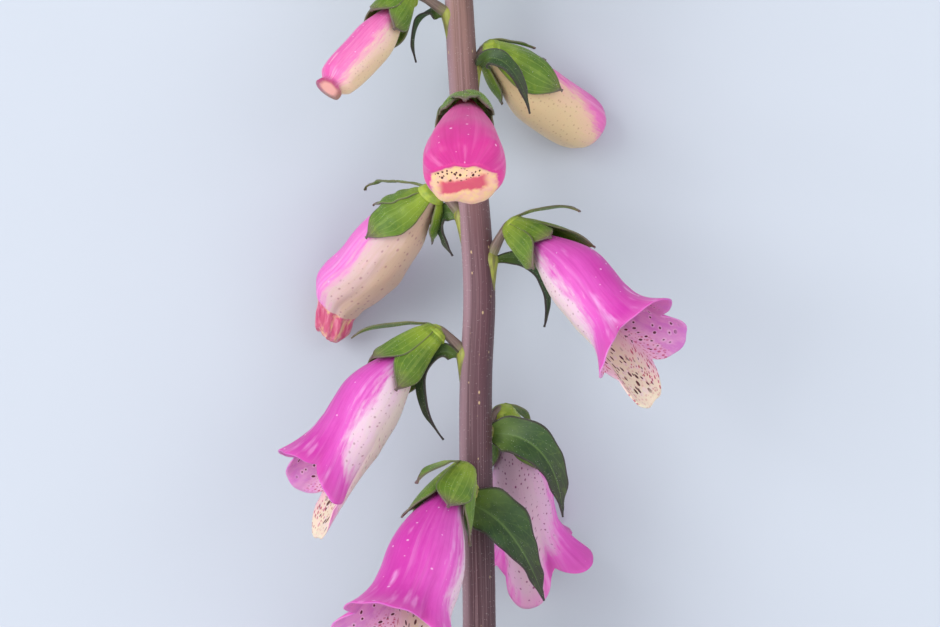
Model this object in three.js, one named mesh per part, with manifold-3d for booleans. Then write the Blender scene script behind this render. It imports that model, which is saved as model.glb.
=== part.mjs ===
// A cut foxglove flower spike, lying on a flat surface as it was picked.
// Millimetres. +X is to the side, +Y runs up the spike to its tip, +Z is up and the surface is z = 0.
// Each flower has a green piece (bract, stalk and calyx, which grow as one), a corolla and, where the
// bell is open, its stamens with the style. In a bell's own axes +Z runs from its base to its mouth and
// +X is its upper side.
import * as THREE from "three";
import { mergeVertices } from "three/addons/utils/BufferGeometryUtils.js";
import Module from "manifold-3d";

const wasm = await Module();
wasm.setup();

const clearance = 0.3; // between pieces that touch
const petalThickness = 0.7;
const bladeThickness = 0.8;
const goldenAngle = 137.5;

// The stem's axis and radius along the spike.
const stemPlan = {
  sides: 9,
  step: 22,
  foot: -185,
  top: 150,
  rows: [
    { y: -185, x: 1.0, z: 3.6, radius: 4.3 },
    { y: -172, x: 1.2, z: 5.4, radius: 4.3 },
    { y: -140, x: 1.9, z: 13.2, radius: 4.2 },
    { y: -105, x: 2.4, z: 22.0, radius: 4.05 },
    { y: -67, x: 2.0, z: 29.2, radius: 3.9 },
    { y: -35, x: 1.3, z: 31.6, radius: 3.85 },
    { y: -15, x: 1.4, z: 31.6, radius: 3.8 },
    { y: 4, x: 2.2, z: 30.8, radius: 3.75 },
    { y: 20, x: 1.3, z: 29.4, radius: 3.7 },
    { y: 51, x: -1.3, z: 25.4, radius: 3.5 },
    { y: 70, x: -2.4, z: 23.4, radius: 3.4 },
    { y: 110, x: -4.2, z: 20.8, radius: 2.9 },
    { y: 150, x: -4.4, z: 20.4, radius: 2.2 },
    { y: 180, x: -3.2, z: 21.2, radius: 1.4 },
    { y: 206, x: -2.0, z: 22.4, radius: 0.8 },
  ],
};

// The open bell. Lengths run from its base and angles from its upper side.
const bell = {
  throatRadius: 2.2,
  tubeRadius: 7.7,
  swell: [2, 20],
  floor: 8, // where the hollow begins
  hump: 1.5, // how far the middle of the tube stands towards the upper side
  humpLength: 30,
  rim: 41.5, // length at the notches between the lobes
  lobes: [
    { centre: 0, halfWidth: 62, length: 2.4, flare: 4.2 },
    { centre: 102, halfWidth: 43, length: 5, flare: 6 },
    { centre: 180, halfWidth: 41, length: 12, flare: 1.6 },
  ],
  flareFrom: 33,
  flare: 1,
  flarePower: 1.8,
  throatStations: [0, 3.5, 8],
  stations: [0.28, 0.58, 0.83, 1], // shares of the way from the floor to the rim
  halfMeridians: [30, 61, 78, 103, 128, 145, 161],
};

// A bell that is still opening has its short lobes drawn in.
const opening = { longer: 1.5, lobeShare: 0.25, drawnIn: 4.2, power: 1.7 };

const bud = {
  length: 36,
  throatRadius: 2.2,
  radius: 6.6,
  swell: [0, 17],
  belly: 1.3, // how far the middle sags to the lower side
  taperFrom: 20,
  sides: 10,
  stations: [0, 0.13, 0.32, 0.56, 0.78, 0.93, 1],
  tipRadius: 0.5,
};

const calyx = {
  cup: [
    { length: -3, radius: 1.2 },
    { length: -0.3, radius: 3.9 },
  ],
  cupSides: 7,
  root: { length: -1.2, radius: 2.6, width: 0.55 },
  gap: 0.5, // between a sepal and the corolla
  widest: 36, // half the angle that a sepal may take round the corolla
  outline: [
    { share: 0.3, width: 0.95 },
    { share: 0.66, width: 0.85 },
    { share: 1, width: 0.08 },
  ],
  sepals: [
    { angle: 0, length: 13, halfWidth: 1.7, lift: 6.5 },
    { angle: 63, length: 15.5, halfWidth: 4.8, lift: 1.6 },
    { angle: -63, length: 15.5, halfWidth: 4.8, lift: 1.2 },
    { angle: 137, length: 15.5, halfWidth: 4.8, lift: 1.0 },
    { angle: -137, length: 15.5, halfWidth: 4.8, lift: 1.8 },
  ],
};

const stalkPlan = {
  sides: 6,
  steps: 3,
  footRadius: 1.7,
  endRadius: 1.15,
  bendOut: 0.75, // a share of the way out, where it bends
  bendRise: 1.5,
};
const axil = { radius: 2.3, length: 4.2 }; // the cushion that a bract and its stalk stand on

// A bract's width along it, and how far its edges rise above the midrib as a share of the half width.
const bractPlan = { outline: [0.5, 0.9, 1, 0.85, 0.5, 0.06], fold: 0.35 };

const stamenPlan = {
  thickness: 0.5,
  filaments: [
    { angle: 30, reach: 35 },
    { angle: -30, reach: 35 },
    { angle: 58, reach: 30 },
    { angle: -58, reach: 30 },
  ],
  styleReach: 38,
  inside: 2.4, // from the bell's inner wall
  bend: 18, // the length at which they have reached the wall
  anther: [1.1, 2.1, 1.2],
  ovary: [
    { length: 0, radius: 1.8 },
    { length: 4, radius: 0.8 },
  ],
  ovarySides: 5,
  threadFoot: 2.8, // the threads start inside the ovary
};

// Flowers from the top down. The stalk leaves the stem at y, towards the azimuth `side` (0 is +X, 90 is
// +Z), and holds the calyx `out` from the stem's axis and `rise` above its own foot. The bell points to
// the azimuth `turn`, `droop` degrees below level, and may `roll` about its axis. A bract's path is given
// from its axil, and `face` is the azimuth that its upper side looks to.
const flowers = [
  {
    name: "01", kind: "bud", y: 70, side: 165, out: 13, rise: 4, turn: 138, droop: 44,
    size: 0.94, slim: 0.8,
    bract: { path: [[0, 0, 0], [-6, 3, -1], [-9, -4, -1], [-7, -11, 0]], width: 3.6, face: 180 },
  },
  {
    name: "02", kind: "bud", y: 57.5, side: -25, out: 7.2, rise: 4, turn: -37, droop: 28,
    size: 1.03, slim: 1.08,
    bract: { path: [[0, 0, 0], [3, 5, 7], [10, 1, 9], [12.5, -11, 7]], width: 6, face: 60 },
  },
  {
    name: "03", kind: "opening", y: 45, side: 90, out: 8.5, rise: 3.4, turn: 91, droop: 31,
    size: 0.96, slim: 1.16,
    bract: { path: [[0, 0, 0], [4.5, -2.5, 2], [7, -7, 1.5], [7, -13, 1]], width: 3.4, face: 20 },
  },
  {
    name: "04", kind: "opening", y: 22.5, side: 192, out: 10.6, rise: 5, turn: 221, droop: 47,
    size: 1.03, slim: 1,
    bract: { path: [[0, 0, 0], [-5, 4, -3], [-5.5, -3, -4], [-1.5, -9, -3]], width: 4.6, face: 160 },
  },
  {
    name: "05", kind: "open", y: 12.3, side: 18, out: 9.1, rise: 7.3, turn: 38, droop: 37,
    size: 1, slim: 1,
    bract: { path: [[0, 0, 0], [6, 3, -3], [12, -6, -6], [11.5, -15, -6]], width: 4.6, face: 60 },
  },
  {
    name: "06", kind: "open", y: -9.7, side: 170, out: 10.5, rise: 4.7, turn: 160, droop: 49,
    size: 0.98, slim: 1, roll: 20,
    bract: { path: [[0, 0, 0], [-8, 4, 2], [-13, -8, 3], [-4, -19.5, 3]], width: 4.6, face: 150 },
  },
  {
    name: "07", kind: "open", y: -41, side: 110, out: 9, rise: 4.5, turn: 123, droop: 53,
    size: 1, slim: 1,
    bract: { path: [[0, 0, 0], [8, -1, 3], [13, -9, 4], [16, -19.5, 3]], width: 9.6, face: 55 },
  },
  {
    name: "08", kind: "open", y: -27, side: -35, out: 8, rise: 3.5, turn: -66, droop: 60,
    size: 0.9, slim: 1,
    bract: { path: [[0, -1, 0], [8.5, 0, 5], [16, -5, 6], [17, -20, 5]], width: 9.6, face: 65 },
  },
  {
    name: "09", kind: "open", y: -80, side: 191, out: 10.3, rise: 3, turn: 208, droop: 52,
    size: 0.98, slim: 1,
    bract: { path: [[0, 0, 0], [-8, 2, 2], [-13, -7, 4], [-13, -18, 2]], width: 8.5, face: 130 },
  },
  {
    name: "10", kind: "open", y: -91, side: -15, out: 10, rise: 3, turn: -18, droop: 46,
    size: 1, slim: 1,
    bract: { path: [[0, 0, 0], [8, 2, 4], [15, -6, 6], [15, -18, 4]], width: 9, face: 60 },
  },
  {
    name: "11", kind: "open", y: -104, side: 100, out: 9, rise: 3, turn: 118, droop: 50,
    size: 1, slim: 1,
    bract: { path: [[0, 0, 0], [6, -2, 3], [8, -12, 4], [8, -24, 2]], width: 9.5, face: 60 },
  },
];

// Buds above the flowers, by the golden angle round the stem and smaller towards the tip. The lowest
// ones show their corolla, and the others are still shut in the calyx.
const upperBuds = {
  first: { y: 84, length: 27, out: 10, rise: 3.5, droop: 18, bractReach: 13, bractWidth: 4.4 },
  last: { y: 146, length: 8.5, out: 5, rise: 2.6, droop: -42, bractReach: 6.5, bractWidth: 3 },
  count: 9,
  showing: 4,
  firstSide: 43,
  slim: 0.95,
  // The bracts' paths as shares of their reach outwards, and in mm along the spike.
  bractPath: [
    { out: 0, rise: 0 },
    { out: 0.5, rise: -2 },
    { out: 0.9, rise: -3 },
  ],
  bractTip: [-11, 2], // rise of the lowest and of the highest bract's tip
};
const shutBud = {
  sides: 5,
  stalkEnd: 1, // how far the stalk runs into it
  rows: [
    { share: 0, radius: 0.1 }, // the radius is a share of the length too
    { share: 0.14, radius: 0.24 },
    { share: 0.42, radius: 0.3 },
    { share: 0.74, radius: 0.19 },
    { share: 1, radius: 0.03 },
  ],
};

// The tip of the spike: a green core with tiny buds, each under its own bract.
const head = {
  coreSides: 6,
  coreRows: 5,
  count: 24,
  first: { y: 156, length: 10.5, out: 1.6, lift: 40 },
  last: { y: 203, length: 3.4, out: 0.3, lift: 74 },
  // Shares of a bud's length.
  budWidth: 0.55,
  budOut: 0.3,
  bractDrop: 0.35,
  bractThickness: 0.16,
  bractWidth: 0.42,
  bractLength: 1.25,
  bractOut: 0.4375,
  bractLower: 30, // degrees below its bud
  roll: 26.3,
  firstSide: 44.2,
};

// Leaves on the bare lower stem.
const stemLeaves = [
  {
    name: "leaf_1", y: -136, side: 20,
    path: [[0, 0, 0], [11, 7, 2], [22, 2, 5], [27, -14, 3]], width: 12, face: 75,
  },
  {
    name: "leaf_2", y: -158, side: 165,
    path: [[0, 0, 0], [-12, 8, 5], [-25, 4, 6], [-33, -14, 1]], width: 14, face: 105,
  },
];
const rootedAt = 0.7; // stalks and leaves start at this share of the stem's radius

const radians = THREE.MathUtils.degToRad;
const mix = THREE.MathUtils.lerp;
const share = (from, to, x) => THREE.MathUtils.clamp((x - from) / (to - from), 0, 1);
const towards = (azimuth) => new THREE.Vector3(Math.cos(radians(azimuth)), 0, Math.sin(radians(azimuth)));
const upwards = new THREE.Vector3(0, 1, 0);

// The stem at a height, on a smooth curve through its rows.
function stemRow(y) {
  const { rows } = stemPlan;
  const next = THREE.MathUtils.clamp(rows.findIndex((row) => row.y >= y), 1, rows.length - 1);
  const [a, b] = [rows[next - 1], rows[next]];
  const [before, after] = [rows[Math.max(0, next - 2)], rows[Math.min(rows.length - 1, next + 1)]];
  const t = share(a.y, b.y, y);
  const between = (key) => {
    const fromSlope = ((b[key] - before[key]) / (b.y - before.y)) * (b.y - a.y);
    const toSlope = ((after[key] - a[key]) / (after.y - a.y)) * (b.y - a.y);
    const curve = t * t * (3 - 2 * t);
    return mix(a[key], b[key], curve) + fromSlope * t * (1 - t) ** 2 - toSlope * t * t * (1 - t);
  };
  return { centre: new THREE.Vector3(between("x"), y, between("z")), radius: between("radius") };
}

// A closed skin over rings of equally many points, with flat ends. `turned` says which quads are split
// the other way.
function skin(rings, turned = () => false) {
  const n = rings[0].length;
  const corner = (row, column) => row * n + (column % n);
  const triangles = [];
  for (let row = 0; row < rings.length - 1; row++) {
    for (let column = 0; column < n; column++) {
      const [a, b] = [corner(row, column), corner(row, column + 1)];
      const [c, d] = [corner(row + 1, column), corner(row + 1, column + 1)];
      triangles.push(...(turned(row, column) ? [a, b, c, b, d, c] : [a, b, d, a, d, c]));
    }
  }
  for (let i = 1; i < n - 1; i++) {
    triangles.push(corner(0, 0), corner(0, i + 1), corner(0, i));
    triangles.push(corner(rings.length - 1, 0), corner(rings.length - 1, i), corner(rings.length - 1, i + 1));
  }
  return new THREE.BufferGeometry().setFromPoints(rings.flat()).setIndex(triangles);
}

// The solid inside a closed geometry, whichever way its triangles turn.
function solidOf(geometry) {
  const bare = geometry.clone();
  bare.deleteAttribute("normal");
  bare.deleteAttribute("uv");
  const merged = mergeVertices(bare);
  const vertProperties = new Float32Array(merged.attributes.position.array);
  const triVerts = new Uint32Array(merged.index.array);
  const solid = new wasm.Manifold(new wasm.Mesh({ numProp: 3, vertProperties, triVerts }));
  if (solid.volume() > 0) return solid;
  return new wasm.Manifold(new wasm.Mesh({ numProp: 3, vertProperties, triVerts: triVerts.reverse() }));
}

const joined = (solids) => solids.reduce((whole, solid) => whole.add(solid));

// A point beside a bell's axis, at an angle from its upper side.
function aroundBell(angle, radius, length, shift = 0) {
  return new THREE.Vector3(
    radius * Math.cos(radians(angle)) + shift,
    radius * Math.sin(radians(angle)),
    length,
  );
}

const evenAngles = (count) => Array.from({ length: count }, (_, i) => (360 * i) / count);
const fromUpperSide = (angle) => Math.abs(THREE.MathUtils.euclideanModulo(angle + 180, 360) - 180);

// How much of a lobe there is at an angle: 1 in its middle and 0 past its edges.
function lobeShare(lobe, angle) {
  const x = (fromUpperSide(angle) - lobe.centre) / lobe.halfWidth;
  return Math.sqrt(Math.max(0, 1 - x * x));
}

const lobeSum = (angle, key) => bell.lobes.reduce((sum, lobe) => sum + lobe[key] * lobeShare(lobe, angle), 0);

function bellRim(open, angle) {
  const lobes = lobeSum(angle, "length");
  return open ? bell.rim + lobes : bell.rim + opening.longer + opening.lobeShare * lobes;
}

function bellRadius(open, angle, length) {
  const tube = mix(bell.throatRadius, bell.tubeRadius, THREE.MathUtils.smoothstep(length, ...bell.swell));
  const mouth = share(bell.flareFrom, bellRim(open, angle), length);
  if (!open) return tube - opening.drawnIn * mouth ** opening.power;
  return tube + (bell.flare + lobeSum(angle, "flare")) * mouth ** bell.flarePower;
}

const bellShift = (length) => bell.hump * Math.sin(Math.PI * share(0, bell.humpLength, length));

// An open or opening bell: its outer wall down to the rim and its inner wall back to the floor.
function corolla(open, size, slim) {
  const half = bell.halfMeridians;
  const angles = [0, ...half, 180, ...half.map((angle) => 360 - angle).reverse()];
  const ring = (lengthAt, inset) =>
    angles.map((angle) => {
      const length = lengthAt(angle);
      return aroundBell(angle, bellRadius(open, angle, length) * slim - inset, length, bellShift(length));
    });
  const past = (s) => (angle) => mix(bell.floor, bellRim(open, angle), s);
  const outer = [
    ...bell.throatStations.map((length) => ring(() => length, 0)),
    ...bell.stations.map((s) => ring(past(s), 0)),
  ];
  const inner = [0, ...bell.stations].reverse().map((s) => ring(past(s), petalThickness / size));
  return solidOf(skin([...outer, ...inner], (row) => row >= outer.length));
}

function budRadius(length) {
  const swell = mix(bud.throatRadius, bud.radius, THREE.MathUtils.smoothstep(length, ...bud.swell));
  return swell * Math.sqrt(1 - share(bud.taperFrom, bud.length, length) ** 2.6);
}

const budShift = (length) => -bud.belly * Math.sin((Math.PI * length) / bud.length);

function corollaBud(slim) {
  const ring = (s) =>
    evenAngles(bud.sides).map((angle) => {
      const length = s * bud.length;
      const radius = Math.max(bud.tipRadius, budRadius(length) * slim);
      return aroundBell(angle, radius, length, budShift(length) * slim);
    });
  return solidOf(skin(bud.stations.map(ring)));
}

// A blade from rings of four points: edge, upper middle, edge and lower middle.
const blade = (rings) => solidOf(skin(rings, (row, column) => column >= 2));

// A sepal over a corolla, whose radius and shift are given by length.
function sepal({ angle, length, halfWidth, lift }, radiusAt, shiftAt, size) {
  const thickness = bladeThickness / size;
  const ring = (reach, radius, half, shift) => [
    aroundBell(angle - half, radius, reach, shift),
    aroundBell(angle, radius + thickness, reach, shift),
    aroundBell(angle + half, radius, reach, shift),
    aroundBell(angle, radius, reach, shift),
  ];
  const { root, gap, widest, outline } = calyx;
  const rows = outline.map((row) => {
    const reach = row.share * length;
    const clear = radiusAt(reach) + gap / size;
    const half = Math.min(widest, THREE.MathUtils.radToDeg((row.width * halfWidth) / clear));
    const radius = clear / Math.cos(radians(half / 2)) + lift * row.share ** 2;
    return ring(reach, radius, half, shiftAt(reach));
  });
  const rootHalf = Math.min(widest, THREE.MathUtils.radToDeg((root.width * halfWidth) / root.radius));
  return blade([ring(root.length, root.radius, rootHalf, 0), ...rows]);
}

// A round stalk along a curve.
function stalk(curve, thick) {
  const { sides, steps, footRadius, endRadius } = stalkPlan;
  const frames = curve.computeFrenetFrames(steps);
  const rings = curve.getSpacedPoints(steps).map((centre, i) => {
    const radius = mix(footRadius, endRadius, i / steps) * thick;
    return evenAngles(sides).map((angle) =>
      centre
        .clone()
        .addScaledVector(frames.normals[i], radius * Math.cos(radians(angle)))
        .addScaledVector(frames.binormals[i], radius * Math.sin(radians(angle))),
    );
  });
  return solidOf(skin(rings));
}

// A bract or leaf: a pointed blade along a path from its axil, folded a little along its midrib.
function bract(foot, { path, width, face }) {
  const { outline, fold } = bractPlan;
  const curve = new THREE.CubicBezierCurve3(...path.map((point) => new THREE.Vector3(...point).add(foot)));
  const last = outline.length - 1;
  const rings = outline.map((w, i) => {
    const centre = curve.getPoint(i / last);
    const side = new THREE.Vector3().crossVectors(curve.getTangent(i / last), towards(face)).normalize();
    const normal = new THREE.Vector3().crossVectors(side, curve.getTangent(i / last)).normalize();
    const half = Math.max(bladeThickness / 2, (w * width) / 2);
    const point = (across, off) => centre.clone().addScaledVector(side, across).addScaledVector(normal, off);
    return [
      point(-half, half * fold),
      point(0, bladeThickness / 2),
      point(half, half * fold),
      point(0, -bladeThickness / 2),
    ];
  });
  return blade(rings);
}

// The stem, wider all round by `extra`.
function stem(extra) {
  const { sides, step, foot, top } = stemPlan;
  const count = Math.round((top - foot) / step);
  const rings = Array.from({ length: count + 1 }, (_, i) => {
    const { centre, radius } = stemRow(mix(foot - extra, top + extra, i / count));
    return evenAngles(sides).map((angle) =>
      towards(angle + 90).multiplyScalar(radius + extra).add(centre),
    );
  });
  return solidOf(skin(rings));
}

const stemRoom = stem(clearance);

// Where a flower's bell stands: its base, its axes and its size.
function bellGroup({ y, side, out, rise, turn, droop, size, roll = 0 }) {
  const level = towards(turn);
  const [cos, sin] = [Math.cos(radians(droop)), Math.sin(radians(droop))];
  const axis = level.clone().multiplyScalar(cos).addScaledVector(upwards, -sin);
  const upper = level.clone().multiplyScalar(sin).addScaledVector(upwards, cos);
  upper.applyAxisAngle(axis, radians(roll));
  const across = new THREE.Vector3().crossVectors(axis, upper);
  const group = new THREE.Group();
  group.position.copy(stemRow(y).centre).addScaledVector(towards(side), out).addScaledVector(upwards, rise);
  group.quaternion.setFromRotationMatrix(new THREE.Matrix4().makeBasis(upper, across, axis));
  group.scale.setScalar(size);
  group.updateMatrixWorld();
  return group;
}

// The cushion, stalk and bract of a flower or bud, from the stem out to the base of its bell.
function axilParts({ y, side, out, rise, size, bract: bractShape }, stalkEnd) {
  const { centre, radius } = stemRow(y);
  const foot = towards(side).multiplyScalar(radius).add(centre);
  const thick = Math.sqrt(size);
  const cushion = new THREE.IcosahedronGeometry(1)
    .scale(axil.radius * thick, axil.length * thick, axil.radius * thick)
    .translate(...foot.toArray());
  const bend = towards(side)
    .multiplyScalar(out * stalkPlan.bendOut)
    .add(centre)
    .addScaledVector(upwards, rise + stalkPlan.bendRise * size);
  const inside = towards(side).multiplyScalar(radius * rootedAt).add(centre);
  const curve = new THREE.QuadraticBezierCurve3(inside, bend, stalkEnd);
  return [solidOf(cushion), stalk(curve, thick), bract(foot, bractShape)];
}

// Bract, stalk and calyx, cut clear of the stem.
function greens(flower, group) {
  const { kind, size, slim } = flower;
  const radiusAt = (length) => (kind === "bud" ? budRadius(length) : bellRadius(false, 0, length)) * slim;
  const shiftAt = (length) => (kind === "bud" ? budShift(length) * slim : bellShift(length));
  const cupRings = calyx.cup.map(({ length, radius }) =>
    evenAngles(calyx.cupSides).map((angle) => aroundBell(angle, radius, length)),
  );
  const around = [solidOf(skin(cupRings)), ...calyx.sepals.map((s) => sepal(s, radiusAt, shiftAt, size))];
  const stalkEnd = aroundBell(0, 0, calyx.root.length).applyMatrix4(group.matrixWorld);
  const placed = around.map((solid) => solid.transform(group.matrixWorld.elements));
  return joined([...axilParts(flower, stalkEnd), ...placed]).subtract(stemRoom);
}

// A bud that is still shut in its calyx, with its stalk and bract.
function shutGreens(flower, group) {
  const { length } = bud;
  const rings = shutBud.rows.map((row) =>
    evenAngles(shutBud.sides).map((angle) => aroundBell(angle, row.radius * length, row.share * length)),
  );
  const shut = solidOf(skin(rings)).transform(group.matrixWorld.elements);
  const stalkEnd = aroundBell(0, 0, shutBud.stalkEnd).applyMatrix4(group.matrixWorld);
  return joined([...axilParts(flower, stalkEnd), shut]).subtract(stemRoom);
}

// A thread from the ovary that bends out to the bell's upper wall and runs along it.
function thread(angle, reach) {
  const start = bell.floor + stamenPlan.threadFoot;
  const rings = [start, stamenPlan.bend, reach].map((length, i) => {
    const out = i ? bellRadius(false, angle, length) - petalThickness - stamenPlan.inside : 0;
    const middle = aroundBell(angle, out, length, bellShift(length));
    return evenAngles(3).map((turn) => aroundBell(turn, stamenPlan.thickness, 0).add(middle));
  });
  return solidOf(skin(rings));
}

function stamens(size) {
  const ovaryFoot = bell.floor + clearance / size;
  const ovary = stamenPlan.ovary.map(({ length, radius }) =>
    evenAngles(stamenPlan.ovarySides).map((angle) =>
      aroundBell(angle, radius, ovaryFoot + length, bellShift(ovaryFoot + length)),
    ),
  );
  const anthers = stamenPlan.filaments.map(({ angle, reach }) => {
    const out = bellRadius(false, angle, reach) - petalThickness - stamenPlan.inside;
    const centre = aroundBell(angle, out, reach, bellShift(reach));
    const anther = new THREE.OctahedronGeometry(1).scale(...stamenPlan.anther);
    return solidOf(anther.translate(...centre.toArray()));
  });
  return joined([
    solidOf(skin(ovary)),
    thread(0, stamenPlan.styleReach),
    ...stamenPlan.filaments.map(({ angle, reach }) => thread(angle, reach)),
    ...anthers,
  ]);
}

// The buds between the flowers and the head.
function upperFlowers() {
  const { first, last, count, showing, firstSide, slim, bractPath, bractTip } = upperBuds;
  return Array.from({ length: count }, (_, k) => {
    const t = k / (count - 1);
    const at = (key) => mix(first[key], last[key], t);
    const side = firstSide + goldenAngle * k;
    const way = towards(side);
    const point = (outward, rise) => [way.x * outward, rise, way.z * outward];
    const reach = at("bractReach");
    const alongPath = bractPath.map((row) => point(reach * row.out, row.rise));
    return {
      name: "bud_" + String(k + 1).padStart(2, "0"),
      kind: k < showing ? "bud" : "shut",
      y: at("y"), side, out: at("out"), rise: at("rise"), turn: side, droop: at("droop"),
      size: at("length") / bud.length,
      slim,
      bract: {
        path: [...alongPath, point(reach, mix(...bractTip, t))],
        width: at("bractWidth"),
        face: side,
      },
    };
  });
}

// The green tip, with its tiny buds and bracts fused to the core.
function budHead() {
  const { first, last, count } = head;
  const from = stemPlan.top + 2 * clearance;
  const to = stemPlan.rows.at(-1).y;
  const core = Array.from({ length: head.coreRows }, (_, i) => {
    const { centre, radius } = stemRow(mix(from, to, i / (head.coreRows - 1)));
    return evenAngles(head.coreSides).map((angle) => towards(angle).multiplyScalar(radius).add(centre));
  });
  const tiny = Array.from({ length: count }, (_, k) => {
    const t = k / (count - 1);
    const at = (key) => mix(first[key], last[key], t);
    const side = head.firstSide + goldenAngle * k;
    const [size, lift] = [at("length"), at("lift")];
    const place = { y: at("y"), side, out: at("out"), rise: 0, turn: side, droop: -lift, size };
    const below = { ...place, rise: -head.bractDrop * size, droop: head.bractLower - lift };
    const budShape = new THREE.IcosahedronGeometry(0.5)
      .scale(head.budWidth, head.budWidth, 1)
      .translate(0, 0, head.budOut);
    const bractShape = new THREE.OctahedronGeometry(0.5)
      .scale(head.bractThickness, head.bractWidth, head.bractLength)
      .translate(0, 0, head.bractOut);
    return [
      solidOf(budShape.applyMatrix4(bellGroup({ ...place, roll: head.roll * k }).matrixWorld)),
      solidOf(bractShape.applyMatrix4(bellGroup(below).matrixWorld)),
    ];
  });
  return joined([solidOf(skin(core)), ...tiny.flat()]).subtract(stemRoom);
}

const colours = {
  stem: { color: 0x8a6a78, roughness: 0.6, metalness: 0 },
  green: { color: 0x5f8a34, roughness: 0.6, metalness: 0 },
  corolla: { color: 0xd85cc0, roughness: 0.5, metalness: 0 },
  bud: { color: 0xe6c3a8, roughness: 0.5, metalness: 0 },
  stamens: { color: 0xe8d9a0, roughness: 0.6, metalness: 0 },
};

// The surface that the spike lies on, as the top of a slab.
const ground = new THREE.BoxGeometry(400, 600, 100).translate(0, 0, -50);

// Adds a solid, given in the axes of its group, as a named mesh that is flat where it meets the ground.
function add(group, name, solid, colour) {
  const groundHere = solidOf(ground.clone().applyMatrix4(group.matrixWorld.clone().invert()));
  const { vertProperties, triVerts } = solid.subtract(groundHere).getMesh();
  const geometry = new THREE.BufferGeometry();
  geometry.setAttribute("position", new THREE.BufferAttribute(vertProperties, 3));
  geometry.setIndex(new THREE.BufferAttribute(triVerts, 1));
  geometry.computeVertexNormals();
  const mesh = new THREE.Mesh(geometry, new THREE.MeshStandardMaterial(colours[colour]));
  mesh.name = name;
  group.add(mesh);
}

const spike = new THREE.Group();
add(spike, "stem", stem(0), "stem");
for (const flower of [...flowers, ...upperFlowers()]) {
  const { name, kind, size, slim } = flower;
  const group = bellGroup(flower);
  if (kind === "shut") {
    add(spike, name, shutGreens(flower, group), "green");
    continue;
  }
  add(spike, "calyx_" + name, greens(flower, group), "green");
  if (kind === "bud") add(group, "corolla_" + name, corollaBud(slim), "bud");
  else add(group, "corolla_" + name, corolla(kind === "open", size, slim), "corolla");
  if (kind === "open") add(group, "stamens_" + name, stamens(size), "stamens");
  spike.add(group);
}
for (const leaf of stemLeaves) {
  const { centre, radius } = stemRow(leaf.y);
  const foot = towards(leaf.side).multiplyScalar(radius * rootedAt).add(centre);
  add(spike, leaf.name, bract(foot, leaf).subtract(stemRoom), "green");
}
add(spike, "bud_head", budHead(), "green");

// The origin is under the middle of the spike's box.
const box = new THREE.Box3().setFromObject(spike, true);
const middle = box.getCenter(new THREE.Vector3());
spike.position.set(-middle.x, -middle.y, -box.min.z);

export default spike;
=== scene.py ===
# A cut foxglove spike on a pale floor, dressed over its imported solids.
# Sizes are in millimetres and angles in degrees until a point is placed; the scene is in metres.
import math
import random
from functools import reduce

import bpy
from mathutils import Matrix, Quaternion, Vector, noise


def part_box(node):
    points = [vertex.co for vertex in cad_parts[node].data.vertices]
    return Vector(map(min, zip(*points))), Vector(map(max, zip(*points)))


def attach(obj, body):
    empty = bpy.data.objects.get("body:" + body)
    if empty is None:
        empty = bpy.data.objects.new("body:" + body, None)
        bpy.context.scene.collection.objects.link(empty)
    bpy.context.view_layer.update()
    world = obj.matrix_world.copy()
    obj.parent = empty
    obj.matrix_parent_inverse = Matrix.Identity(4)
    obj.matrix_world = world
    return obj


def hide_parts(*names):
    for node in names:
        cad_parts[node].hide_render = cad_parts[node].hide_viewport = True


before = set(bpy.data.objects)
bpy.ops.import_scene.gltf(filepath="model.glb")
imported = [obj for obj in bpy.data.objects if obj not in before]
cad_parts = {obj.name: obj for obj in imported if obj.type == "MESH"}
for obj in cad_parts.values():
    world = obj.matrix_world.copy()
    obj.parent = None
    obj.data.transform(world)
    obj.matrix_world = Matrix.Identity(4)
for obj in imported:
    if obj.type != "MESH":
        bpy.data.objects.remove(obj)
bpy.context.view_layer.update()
print("frame loaded:", len(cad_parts), "solids")

mm = 0.001
plantOrigin = Vector((-2.448, -10.5, 0.0))  # where the plan's own origin stands in the frame
goldenAngle = 137.5  # from one flower or bud to the next
offEveryPath = Vector((0.31, 0.2, 0.93))  # no tube runs this way, so that it can tell a tube's sides
tubeEndPower = 12  # the higher, the blunter a tube ends
patterns = {"apart": 3.7, "hidden": (-0.004, 0.014)}  # between two seeds, and where a form closes at its foot
skins = {}  # by name, filled before the first piece is made


def mix(a, b, t):
    return a + (b - a) * t


def share(low, high, x):
    return min(1.0, max(0.0, (x - low) / (high - low)))


def smooth(low, high, x):
    t = share(low, high, x)
    return t * t * (3 - 2 * t)


def cosOf(angle):
    return math.cos(math.radians(angle))


def sinOf(angle):
    return math.sin(math.radians(angle))


def towards(azimuth):  # 0 is to the side, 90 is up from the floor
    return Vector((cosOf(azimuth), 0, sinOf(azimuth)))


def steps(rows, x):  # a soft curve through (x, value) rows
    for (x0, a), (x1, b) in zip(rows, rows[1:]):
        if x <= x1:
            return mix(a, b, smooth(x0, x1, x))
    return rows[-1][1]


def curve(rows, t):  # a smooth curve through evenly spaced rows
    at = t * (len(rows) - 1)
    k = min(int(at), len(rows) - 2)
    f = at - k
    four = rows[max(0, k - 1)], rows[k], rows[k + 1], rows[min(k + 2, len(rows) - 1)]
    return [q + 0.5 * f * (r - p + f * (2 * p - 5 * q + 4 * r - s + f * (3 * (q - r) + s - p)))
            for p, q, r, s in zip(*four)]


def onPath(path, t):  # a point and the direction on a path of four points
    a, b, c, d = path
    s = 1 - t
    point = a * s**3 + b * 3 * s * s * t + c * 3 * s * t * t + d * t**3
    way = (b - a) * s * s + (c - b) * 2 * s * t + (d - c) * t * t
    return point, way.normalized()


def placed(point):  # from the plan in millimetres to the frame in metres, never below the floor
    moved = (point + plantOrigin) * mm
    moved.z = max(0.0, moved.z)
    return moved


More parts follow.
